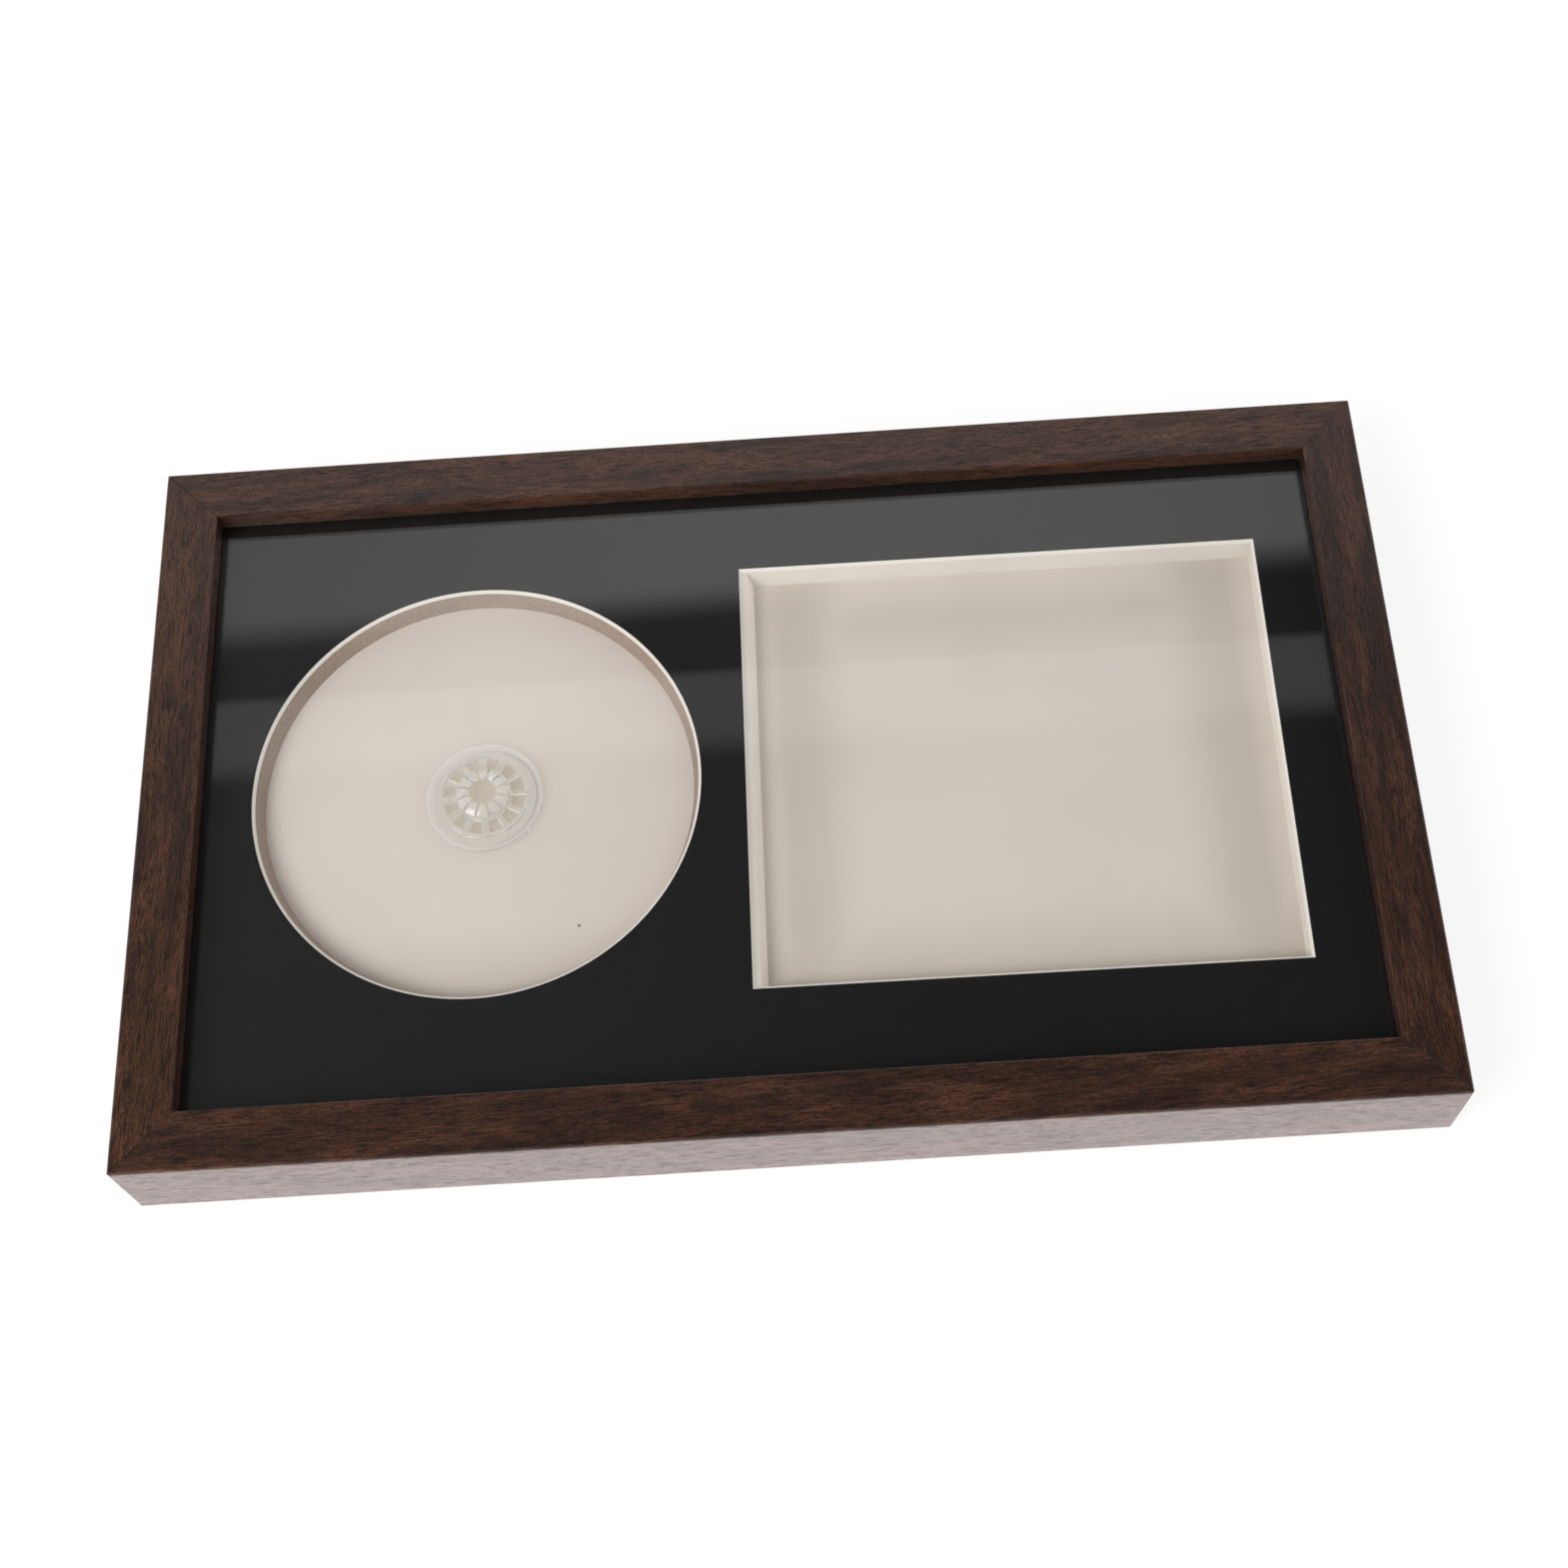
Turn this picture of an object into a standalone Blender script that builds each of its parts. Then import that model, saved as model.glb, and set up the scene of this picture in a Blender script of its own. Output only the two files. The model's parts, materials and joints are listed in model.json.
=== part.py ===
"""Display frame for one compact disc and its paper cover, modelled lying face up.

+Z points out of the glazed face, +X runs along the long side and +Y points to the top rail. The
origin is in the middle of the back, on the surface that the frame lies on. All lengths are in metres.
"""

import math

import bmesh
import bpy
from mathutils import Matrix, Vector

# Clearances
TOUCH_GAP = 0.0003
CUT_OVERRUN = 0.002
BOARD_CLEARANCE = 0.0005
MERGE_DISTANCE = 0.000001

# Windows in the mat, and the mat that shows around them
DISC_WINDOW_RADIUS = 0.0630
COVER_WINDOW_LENGTH = 0.1502
COVER_WINDOW_HEIGHT = 0.1302
MARGIN_LEFT = 0.0136
MARGIN_MIDDLE = 0.0123
MARGIN_RIGHT = 0.0169
MARGIN_TOP = 0.0241
MARGIN_BOTTOM = 0.0267
DISC_WINDOW_SEGMENTS = 96

# Moulding
FRAME_DEPTH = 0.030
RAIL_FACE_WIDTH = 0.016
RAIL_WALL = 0.011
LIP_DEPTH = 0.006
OUTER_EDGE_RADIUS = 0.0010
EASED_EDGE_RADIUS = 0.0006
EDGE_STEPS = 3
GROOVE_DEPTH = 0.0045
GROOVE_CLEARANCE = 0.0003

# Corner nails, bent to a right angle and driven from behind across each mitre
NAIL_INSET = 0.0032
NAIL_LEG = 0.0056
NAIL_SHEET = 0.0006
NAIL_HEIGHT = 0.0070
NAIL_SINK = 0.0005

# Sheets in the rabbet, from the front
GLAZING_THICKNESS = 0.0015
MAT_THICKNESS = 0.0008
MAT_BEVEL_ANGLE = math.radians(45)
SPACER_THICKNESS = 0.0048
SPACER_TAPER = 0.0017
SPACER_COVER_SHIFT = 0.0014
BACKING_THICKNESS = 0.0020
PANEL_THICKNESS = 0.0030

# Hub that grips the disc by its centre hole, stuck down by hand a little off the window's centre
HUB_SHIFT_X = 0.0016
HUB_SHIFT_Y = -0.0015
DISC_HOLE_RADIUS = 0.0075
PAD_RADIUS = 0.0145
PAD_THICKNESS = 0.0006
PAD_SEGMENTS = 48
HUB_FLANGE_RADIUS = 0.0165
HUB_FLANGE_THICKNESS = 0.0010
HUB_FLANGE_CHAMFER = 0.0003
HUB_RING_RADIUS = 0.0128
HUB_RING_WALL = 0.0009
HUB_RING_RISE = 0.0009
HUB_SEGMENTS = 72
HUB_SPOKES = 12
SPOKE_WIDTH = 0.0014
SPOKE_ROOT = 0.0007
CROWN_CLEARANCE = 0.0007
CROWN_PLAY = 0.00015
CROWN_BULGE = 0.00025
CROWN_WALL = 0.0009
CROWN_MOUTH_RADIUS = 0.0038
FINGER_SLOT_WIDTH = 0.0006
FINGER_ROOT = 0.0004
ARC_STEPS = 4

# Rivets
RIVET_SHANK_RADIUS = 0.0015
RIVET_HEAD_RADIUS = 0.0026
RIVET_HEAD_HEIGHT = 0.0009
RIVET_FOOT_RADIUS = 0.0023
RIVET_FOOT_HEIGHT = 0.0006
RIVET_SEGMENTS = 20

# Swivel clips on the back panel
CLIP_THICKNESS = 0.0010
CLIP_WIDTH = 0.0090
CLIP_PIVOT_INSET = 0.0120
CLIP_ENGAGEMENT = 0.0034
CLIP_CORNER_STEPS = 8
LONG_SIDE_CLIP_SHARES = (-0.30, 0.30)
SHORT_SIDE_CLIP_SHARES = (0.0,)

# Hangers: a riveted strap whose rolled end carries a ring
HANGER_SHARES = (-0.18, 0.18)
HANGER_TOP_INSET = 0.0230
STRAP_THICKNESS = 0.0008
STRAP_WIDTH = 0.0090
STRAP_LENGTH = 0.0235
STRAP_RIVET_INSET = 0.0115
STRAP_RIVET_PITCH = 0.0075
STRAP_RIVET_NAMES = ("upper", "lower")
ROLL_END_ANGLE = math.radians(-190)
ROLL_STEPS = 14
RING_WIRE_RADIUS = 0.0006
RING_HALF_WIDTH = 0.0070
RING_CORNER_RADIUS = 0.0012
RING_FLOOR_CLEARANCE = 0.0006
RING_CORNER_STEPS = 3
RING_BOW_STEPS = 16
RING_WIRE_RESOLUTION = 2

# Overall size, built up from the windows outwards
SIGHT_LENGTH = MARGIN_LEFT + 2 * DISC_WINDOW_RADIUS + MARGIN_MIDDLE + COVER_WINDOW_LENGTH + MARGIN_RIGHT
SIGHT_HEIGHT = MARGIN_BOTTOM + COVER_WINDOW_HEIGHT + MARGIN_TOP
FRAME_LENGTH = SIGHT_LENGTH + 2 * RAIL_FACE_WIDTH
FRAME_HEIGHT = SIGHT_HEIGHT + 2 * RAIL_FACE_WIDTH
RABBET_LENGTH = FRAME_LENGTH - 2 * RAIL_WALL
RABBET_HEIGHT = FRAME_HEIGHT - 2 * RAIL_WALL
BOARD_HALF = (RABBET_LENGTH / 2 - BOARD_CLEARANCE, RABBET_HEIGHT / 2 - BOARD_CLEARANCE)

# Window centres
WINDOW_Y = -SIGHT_HEIGHT / 2 + MARGIN_BOTTOM + COVER_WINDOW_HEIGHT / 2
DISC_X = -SIGHT_LENGTH / 2 + MARGIN_LEFT + DISC_WINDOW_RADIUS
COVER_X = SIGHT_LENGTH / 2 - MARGIN_RIGHT - COVER_WINDOW_LENGTH / 2

# Heights of the sheets, each hung below the one in front of it
LIP_UNDERSIDE = FRAME_DEPTH - LIP_DEPTH
GLAZING_TOP = LIP_UNDERSIDE - TOUCH_GAP
GLAZING_BOTTOM = GLAZING_TOP - GLAZING_THICKNESS
MAT_TOP = GLAZING_BOTTOM - TOUCH_GAP
MAT_BOTTOM = MAT_TOP - MAT_THICKNESS
SPACER_TOP = MAT_BOTTOM - TOUCH_GAP
SPACER_BOTTOM = SPACER_TOP - SPACER_THICKNESS
BACKING_TOP = SPACER_BOTTOM - TOUCH_GAP
BACKING_BOTTOM = BACKING_TOP - BACKING_THICKNESS
PANEL_TOP = BACKING_BOTTOM - TOUCH_GAP
PANEL_BOTTOM = PANEL_TOP - PANEL_THICKNESS
CLIP_TOP = PANEL_BOTTOM - TOUCH_GAP
CLIP_BOTTOM = CLIP_TOP - CLIP_THICKNESS
GROOVE_TOP = CLIP_TOP + GROOVE_CLEARANCE
GROOVE_BOTTOM = CLIP_BOTTOM - GROOVE_CLEARANCE
MAT_BEVEL = MAT_THICKNESS * math.tan(MAT_BEVEL_ANGLE)

# Heights on the hub
PAD_BOTTOM = BACKING_TOP + TOUCH_GAP
PAD_TOP = PAD_BOTTOM + PAD_THICKNESS
HUB_BOTTOM = PAD_TOP + TOUCH_GAP
CROWN_TOP = GLAZING_BOTTOM - CROWN_CLEARANCE

# Strap and ring
STRAP_TOP = PANEL_BOTTOM - TOUCH_GAP
ROLL_BORE = RING_WIRE_RADIUS + TOUCH_GAP
ROLL_RADIUS = ROLL_BORE + STRAP_THICKNESS
RING_AXIS_Z = STRAP_TOP - ROLL_RADIUS
RING_AXIS_Y = BOARD_HALF[1] - HANGER_TOP_INSET
RING_REACH = RING_AXIS_Z - RING_WIRE_RADIUS - RING_FLOOR_CLEARANCE

# Outlines of windows and sheets, as shares of their half lengths
SQUARE_SHARES = ((-1, -1), (1, -1), (1, 1), (-1, 1))
ROUND_SHARES = tuple(
    (math.cos(turn), math.sin(turn))
    for turn in (math.tau * step / DISC_WINDOW_SEGMENTS for step in range(DISC_WINDOW_SEGMENTS))
)

# Finishes: colour as seen from 0 to 255, roughness, metallic, transmission
WALNUT = ((75, 55, 47), 0.45, 0.0, 0.0)
ACRYLIC = ((214, 222, 224), 0.03, 0.0, 1.0)
BLACK_MAT = ((28, 28, 28), 0.85, 0.0, 0.0)
WHITE_FOAM = ((222, 214, 206), 0.90, 0.0, 0.0)
CREAM_BOARD = ((208, 198, 188), 0.90, 0.0, 0.0)
FOAM_TAPE = ((196, 178, 150), 0.80, 0.0, 0.0)
CLEAR_PLASTIC = ((226, 224, 218), 0.12, 0.0, 0.9)
FIBREBOARD = ((132, 98, 66), 0.80, 0.0, 0.0)
ZINC = ((176, 178, 180), 0.35, 1.0, 0.0)
NICKEL = ((196, 192, 184), 0.25, 1.0, 0.0)
CREASE_ANGLE = math.radians(40)


def clear_scene():
    """Remove every object that the scene starts with."""
    for thing in list(bpy.data.objects):
        bpy.data.objects.remove(thing, do_unlink=True)


def linear(channel):
    """Linear value of one colour channel given from 0 to 255."""
    share = channel / 255
    return share / 12.92 if share <= 0.04045 else ((share + 0.055) / 1.055) ** 2.4


def dress(thing, finish):
    """Give an object a material of its own in one of the finishes."""
    colour, roughness, metallic, transmission = finish
    material = bpy.data.materials.new(thing.name)
    material.use_nodes = True
    shader = material.node_tree.nodes["Principled BSDF"]
    shader.inputs["Base Color"].default_value = (*(linear(channel) for channel in colour), 1)
    shader.inputs["Roughness"].default_value = roughness
    shader.inputs["Metallic"].default_value = metallic
    shader.inputs["Transmission Weight"].default_value = transmission
    thing.data.materials.append(material)


def place(bm, name, location=(0, 0, 0), turn=0.0, parent=None):
    """Turn a closed bmesh into a named object at its place, shaded smooth up to the crease angle."""
    bmesh.ops.recalc_face_normals(bm, faces=bm.faces)
    mesh = bpy.data.meshes.new(name)
    bm.to_mesh(mesh)
    bm.free()
    mesh.shade_smooth()
    mesh.set_sharp_from_angle(angle=CREASE_ANGLE)
    thing = bpy.data.objects.new(name, mesh)
    bpy.context.scene.collection.objects.link(thing)
    thing.location = location
    thing.rotation_euler.z = turn
    hang(thing, parent)
    return thing


def hang(thing, parent):
    """Parent an object without moving it, for a parent that is only moved, not turned."""
    if parent:
        thing.parent = parent
        thing.location = Vector(thing.location) - parent.location


def guide(bm, name, location=(0, 0, 0), turn=0.0):
    """A cutter: an object that shapes others and isn't part of the frame itself."""
    thing = place(bm, name, location, turn)
    thing.hide_render = True
    thing.display_type = "WIRE"
    return thing


def cut(target, cutter):
    """Cut one object with another."""
    modifier = target.modifiers.new(cutter.name, "BOOLEAN")
    modifier.operation = "DIFFERENCE"
    modifier.solver = "EXACT"
    modifier.object = cutter


def lofted(outline_shares, levels, centre=(0, 0)):
    """Closed block through outlines of one kind; a level is its height and its two half lengths."""
    bm = bmesh.new()
    loops = []
    for height, half_x, half_y in levels:
        places = [(centre[0] + x * half_x, centre[1] + y * half_y, height) for x, y in outline_shares]
        loops.append([bm.verts.new(point) for point in places])
    bm.faces.new(loops[0])
    bm.faces.new(loops[-1])
    for lower, upper in zip(loops, loops[1:]):
        for here in range(len(lower)):
            bm.faces.new((lower[here - 1], lower[here], upper[here], upper[here - 1]))
    return bm


def prism(outline, low, high, bm=None):
    """Outline in X and Y raised from one height to another, added to a bmesh if one is given."""
    bm = bm or bmesh.new()
    face = bm.faces.new([bm.verts.new((x, y, low)) for x, y in outline])
    raised = bmesh.ops.extrude_face_region(bm, geom=[face])["geom"]
    lifted = [element for element in raised if isinstance(element, bmesh.types.BMVert)]
    bmesh.ops.translate(bm, verts=lifted, vec=(0, 0, high - low))
    return bm


def turned(profile, segments, closed):
    """Profile of radius and height, spun about Z; an open one starts and ends on the axis."""
    bm = bmesh.new()
    points = [bm.verts.new((radius, 0, height)) for radius, height in profile]
    pairs = list(zip(points, points[1:]))
    if closed:
        pairs.append((points[-1], points[0]))
    outline = points + [bm.edges.new(pair) for pair in pairs]
    bmesh.ops.spin(bm, geom=outline, axis=(0, 0, 1), angle=math.tau, steps=segments, use_merge=True)
    bmesh.ops.remove_doubles(bm, verts=bm.verts, dist=MERGE_DISTANCE)
    return bm


def arc(centre, radius, start, end, steps):
    """Points on an arc, both ends among them."""
    angles = (start + (end - start) * step / steps for step in range(steps + 1))
    return [(centre[0] + radius * math.cos(a), centre[1] + radius * math.sin(a)) for a in angles]


def moulding_profile():
    """Section of the moulding as inset from its outer side and height above its back."""
    quarter = math.pi / 2
    lip_centre = (RAIL_FACE_WIDTH - EASED_EDGE_RADIUS, FRAME_DEPTH - EASED_EDGE_RADIUS)
    face_centre = (OUTER_EDGE_RADIUS, FRAME_DEPTH - OUTER_EDGE_RADIUS)
    back_centre = (EASED_EDGE_RADIUS, EASED_EDGE_RADIUS)
    groove_floor = RAIL_WALL - GROOVE_DEPTH
    return [
        (RAIL_WALL, 0),
        (RAIL_WALL, GROOVE_BOTTOM),
        (groove_floor, GROOVE_BOTTOM),
        (groove_floor, GROOVE_TOP),
        (RAIL_WALL, GROOVE_TOP),
        (RAIL_WALL, LIP_UNDERSIDE),
        (RAIL_FACE_WIDTH, LIP_UNDERSIDE),
        *arc(lip_centre, EASED_EDGE_RADIUS, 0, quarter, EDGE_STEPS),
        *arc(face_centre, OUTER_EDGE_RADIUS, quarter, 2 * quarter, EDGE_STEPS),
        *arc(back_centre, EASED_EDGE_RADIUS, 2 * quarter, 3 * quarter, EDGE_STEPS),
    ]


def rail(name, run, location, turn, parent):
    """One mitred rail, its outer side on local X and its inner side towards local +Y."""
    backoff = TOUCH_GAP / math.sqrt(2)
    bm = bmesh.new()
    ends = []
    for side in (-1, 1):
        ends.append(
            [
                bm.verts.new((side * (run / 2 - inset - backoff), inset, height))
                for inset, height in moulding_profile()
            ]
        )
        bm.faces.new(ends[-1])
    left, right = ends
    for here in range(len(left)):
        bm.faces.new((left[here - 1], left[here], right[here], right[here - 1]))
    thing = place(bm, name, location, turn, parent)
    dress(thing, WALNUT)
    return thing


def nail_outline(growth, side_x, side_y):
    """Right-angled strip seen from above, its corner towards the frame's corner."""
    near = -growth
    inner = NAIL_SHEET + growth
    tip = NAIL_LEG + growth
    points = ((near, near), (tip, near), (tip, inner), (inner, inner), (inner, tip), (near, tip))
    return [(-side_x * x, -side_y * y) for x, y in points]


def moulding(parent):
    """Four mitred rails and the nail that holds each corner."""
    half_turn = math.pi
    rails = {
        "bottom": rail("rail_bottom", FRAME_LENGTH, (0, -FRAME_HEIGHT / 2, 0), 0, parent),
        "right": rail("rail_right", FRAME_HEIGHT, (FRAME_LENGTH / 2, 0, 0), half_turn / 2, parent),
        "top": rail("rail_top", FRAME_LENGTH, (0, FRAME_HEIGHT / 2, 0), half_turn, parent),
        "left": rail("rail_left", FRAME_HEIGHT, (-FRAME_LENGTH / 2, 0, 0), -half_turn / 2, parent),
    }
    for upright, side_x in (("left", -1), ("right", 1)):
        for level, side_y in (("bottom", -1), ("top", 1)):
            corner = (side_x * (FRAME_LENGTH / 2 - NAIL_INSET), side_y * (FRAME_HEIGHT / 2 - NAIL_INSET), 0)
            nail_top = NAIL_SINK + NAIL_HEIGHT
            pocket = guide(
                prism(nail_outline(TOUCH_GAP, side_x, side_y), -CUT_OVERRUN, nail_top + TOUCH_GAP),
                f"nail_pocket_{level}_{upright}",
                corner,
            )
            cut(rails[upright], pocket)
            cut(rails[level], pocket)
            strip = prism(nail_outline(0, side_x, side_y), NAIL_SINK, nail_top)
            dress(place(strip, f"corner_nail_{level}_{upright}", corner, parent=parent), ZINC)


def sheet(name, bottom, top, finish, parent):
    """A plain sheet that fills the rabbet."""
    levels = [(bottom, *BOARD_HALF), (top, *BOARD_HALF)]
    thing = place(lofted(SQUARE_SHARES, levels), name, parent=parent)
    dress(thing, finish)
    return thing


def window(target, name, outline_shares, centre, back, front):
    """Cut a window whose walls run straight from the back outline to the front one and past both."""
    back_z, *back_half = back
    front_z, *front_half = front
    slopes = [(wide - narrow) / (front_z - back_z) for wide, narrow in zip(front_half, back_half)]
    levels = [
        (back_z - CUT_OVERRUN, *(half - slope * CUT_OVERRUN for half, slope in zip(back_half, slopes))),
        (front_z + CUT_OVERRUN, *(half + slope * CUT_OVERRUN for half, slope in zip(front_half, slopes))),
    ]
    cut(target, guide(lofted(outline_shares, levels, centre), name))


def mat_and_spacer(parent):
    """Black mat with bevelled windows, and the foam board behind it that makes the recesses."""
    mat = sheet("mat_board", MAT_BOTTOM, MAT_TOP, BLACK_MAT, parent)
    spacer = sheet("spacer_board", SPACER_BOTTOM, SPACER_TOP, WHITE_FOAM, parent)
    disc_front = (DISC_WINDOW_RADIUS, DISC_WINDOW_RADIUS)
    cover_front = (COVER_WINDOW_LENGTH / 2, COVER_WINDOW_HEIGHT / 2)
    windows = (
        ("disc", ROUND_SHARES, (DISC_X, WINDOW_Y), 0, disc_front),
        ("cover", SQUARE_SHARES, (COVER_X, WINDOW_Y), SPACER_COVER_SHIFT, cover_front),
    )
    for name, outline_shares, centre, shift, front in windows:
        inner = tuple(half - MAT_BEVEL for half in front)
        floor = tuple(half - SPACER_TAPER for half in inner)
        window(mat, f"{name}_mat_window", outline_shares, centre, (MAT_BOTTOM, *inner), (MAT_TOP, *front))
        window(
            spacer,
            f"{name}_spacer_window",
            outline_shares,
            (centre[0] + shift, centre[1]),
            (SPACER_BOTTOM, *floor),
            (SPACER_TOP, *inner),
        )


def crown_radius():
    """Outer radius of the hub's crown below its bulge."""
    return DISC_HOLE_RADIUS - CROWN_PLAY


def hub_profile():
    """Closed section of the hub: flange, raised ring that the disc rests on, and domed crown."""
    deck = HUB_FLANGE_THICKNESS
    ring_top = deck + HUB_RING_RISE
    ring_inner = HUB_RING_RADIUS - HUB_RING_WALL
    top = CROWN_TOP - HUB_BOTTOM
    outer = crown_radius()
    dome = (outer - CROWN_MOUTH_RADIUS) / 2
    shoulder = top - dome / 2
    bulge = (shoulder + deck) / 2
    return [
        (HUB_FLANGE_RADIUS, 0),
        (HUB_FLANGE_RADIUS, deck - HUB_FLANGE_CHAMFER),
        (HUB_FLANGE_RADIUS - HUB_FLANGE_CHAMFER, deck),
        (HUB_RING_RADIUS, deck),
        (HUB_RING_RADIUS, ring_top),
        (ring_inner, ring_top),
        (ring_inner, deck),
        (outer, deck),
        (outer, bulge),
        (outer + CROWN_BULGE, shoulder),
        (outer - dome / 2, top - CROWN_BULGE),
        (outer - dome, top),
        (CROWN_MOUTH_RADIUS, top - CROWN_BULGE),
        (CROWN_MOUTH_RADIUS, top - CROWN_WALL),
        (outer - dome, top - CROWN_WALL),
        (outer - CROWN_WALL, shoulder - CROWN_WALL / 2),
        (outer - CROWN_WALL, 0),
    ]


def spoke_gap(bm, start, end):
    """Add one gap between two spokes that leave the hub at the two angles."""
    inner = crown_radius() + SPOKE_ROOT
    outer = HUB_RING_RADIUS - HUB_RING_WALL - SPOKE_ROOT
    near = math.asin(SPOKE_WIDTH / 2 / inner)
    far = math.asin(SPOKE_WIDTH / 2 / outer)
    outline = arc((0, 0), outer, start + far, end - far, ARC_STEPS)
    outline += arc((0, 0), inner, end - near, start + near, ARC_STEPS)
    prism(outline, -CUT_OVERRUN, HUB_FLANGE_THICKNESS + FINGER_ROOT / 2, bm)


def finger_slot(bm, angle):
    """Add one radial slot that parts two fingers of the crown."""
    half = FINGER_SLOT_WIDTH / 2
    inner = CROWN_MOUTH_RADIUS / 2
    outer = crown_radius() + (CROWN_BULGE + SPOKE_ROOT) / 2
    spun = Matrix.Rotation(angle, 2)
    corners = ((inner, -half), (outer, -half), (outer, half), (inner, half))
    outline = [spun @ Vector(point) for point in corners]
    prism(outline, HUB_FLANGE_THICKNESS + FINGER_ROOT, CROWN_TOP - HUB_BOTTOM + CUT_OVERRUN, bm)


def disc_hub(parent):
    """Clear hub on its foam tape, stuck to the backing board near the middle of the round window."""
    centre = (DISC_X + HUB_SHIFT_X, WINDOW_Y + HUB_SHIFT_Y)
    pad_profile = [(0, 0), (PAD_RADIUS, 0), (PAD_RADIUS, PAD_THICKNESS), (0, PAD_THICKNESS)]
    pad = place(turned(pad_profile, PAD_SEGMENTS, False), "hub_pad", (*centre, PAD_BOTTOM), parent=parent)
    dress(pad, FOAM_TAPE)
    hub_place = (*centre, HUB_BOTTOM)
    hub = place(turned(hub_profile(), HUB_SEGMENTS, True), "disc_hub", hub_place, parent=parent)
    dress(hub, CLEAR_PLASTIC)
    openings = bmesh.new()
    pitch = math.tau / HUB_SPOKES
    for spoke in range(HUB_SPOKES):
        spoke_gap(openings, spoke * pitch, (spoke + 1) * pitch)
        finger_slot(openings, (spoke + 1 / 2) * pitch)
    cut(hub, guide(openings, "hub_openings", hub_place))


def clip_places():
    """Pivot, parked turn and name of each swivel clip; a quarter turn from parked locks it."""
    reach_x = RABBET_LENGTH / 2 - CLIP_PIVOT_INSET
    reach_y = RABBET_HEIGHT / 2 - CLIP_PIVOT_INSET
    quarter = math.pi / 2
    places = []
    for share in LONG_SIDE_CLIP_SHARES:
        side = "left" if share < 0 else "right"
        places.append((f"bottom_{side}", (share * RABBET_LENGTH, -reach_y), -2 * quarter))
        places.append((f"top_{side}", (share * RABBET_LENGTH, reach_y), 0))
    for share in SHORT_SIDE_CLIP_SHARES:
        places.append(("left", (-reach_x, share * RABBET_HEIGHT), quarter))
        places.append(("right", (reach_x, share * RABBET_HEIGHT), -quarter))
    return places


def hanger_rivet_places():
    """Name and place of each rivet through a hanger strap."""
    places = []
    for share in HANGER_SHARES:
        side = "left" if share < 0 else "right"
        for row, name in enumerate(STRAP_RIVET_NAMES):
            y = RING_AXIS_Y - STRAP_RIVET_INSET - row * STRAP_RIVET_PITCH
            places.append((f"{side}_{name}", (share * RABBET_LENGTH, y)))
    return places


def rivet(name, centre, grip, parent):
    """A rivet through the panel, domed head behind and set foot sunk in front; grip is what it holds."""
    foot_top = PANEL_TOP
    foot_bottom = foot_top - RIVET_FOOT_HEIGHT
    head_top = PANEL_BOTTOM - 2 * TOUCH_GAP - grip
    dome = arc((0, head_top), 1, -math.pi / 2, 0, ARC_STEPS)
    profile = [(x * RIVET_HEAD_RADIUS, head_top + (z - head_top) * RIVET_HEAD_HEIGHT) for x, z in dome]
    profile += [
        (RIVET_SHANK_RADIUS, head_top),
        (RIVET_SHANK_RADIUS, foot_bottom),
        (RIVET_FOOT_RADIUS, foot_bottom),
        (RIVET_FOOT_RADIUS, foot_top),
        (0, foot_top),
    ]
    thing = place(turned(profile, RIVET_SEGMENTS, False), name, (*centre, 0), parent=parent)
    dress(thing, ZINC)


def rivet_hole(bm, centre):
    """Add the stepped hole of one rivet, with its counterbore at the front of the panel."""
    shank = RIVET_SHANK_RADIUS + TOUCH_GAP
    foot = RIVET_FOOT_RADIUS + TOUCH_GAP
    step = PANEL_TOP - RIVET_FOOT_HEIGHT - TOUCH_GAP
    low = PANEL_BOTTOM - CUT_OVERRUN
    high = PANEL_TOP + CUT_OVERRUN
    profile = [(0, low), (shank, low), (shank, step), (foot, step), (foot, high), (0, high)]
    hole = turned(profile, RIVET_SEGMENTS, False)
    bmesh.ops.translate(hole, verts=hole.verts, vec=(*centre, 0))
    shape = bpy.data.meshes.new("rivet_hole")
    hole.to_mesh(shape)
    hole.free()
    bm.from_mesh(shape)
    bpy.data.meshes.remove(shape)


def back_panel(parent):
    """Fibreboard panel with a stepped hole for every rivet."""
    panel = sheet("back_panel", PANEL_BOTTOM, PANEL_TOP, FIBREBOARD, parent)
    holes = bmesh.new()
    for _, centre, _ in clip_places():
        rivet_hole(holes, centre)
    for _, centre in hanger_rivet_places():
        rivet_hole(holes, centre)
    cut(panel, guide(holes, "rivet_holes"))


def swivel_clip(name, centre, turn, parent):
    """A round-ended steel tongue on its rivet, parked along the edge of the panel."""
    half = CLIP_WIDTH / 2
    tip = CLIP_PIVOT_INSET + CLIP_ENGAGEMENT - half
    quarter = math.pi / 2
    outline = arc((tip, 0), half, -quarter, quarter, CLIP_CORNER_STEPS)
    outline += arc((0, 0), half, quarter, 3 * quarter, CLIP_CORNER_STEPS)
    bore = RIVET_SHANK_RADIUS + TOUCH_GAP
    bore_outline = arc((0, 0), bore, 0, math.tau, RIVET_SEGMENTS)[1:]
    clip = place(prism(outline, CLIP_BOTTOM, CLIP_TOP), name, (*centre, 0), turn, parent)
    bore_bm = prism(bore_outline, CLIP_BOTTOM - CUT_OVERRUN, CLIP_TOP + CUT_OVERRUN)
    cut(clip, guide(bore_bm, f"{name}_bore", (*centre, 0)))
    dress(clip, ZINC)


def swivel_clips(parent):
    """Six swivel clips and their rivets."""
    for name, centre, turn in clip_places():
        swivel_clip(f"clip_{name}", centre, turn, parent)
        rivet(f"clip_rivet_{name}", centre, CLIP_THICKNESS, parent)


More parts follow.
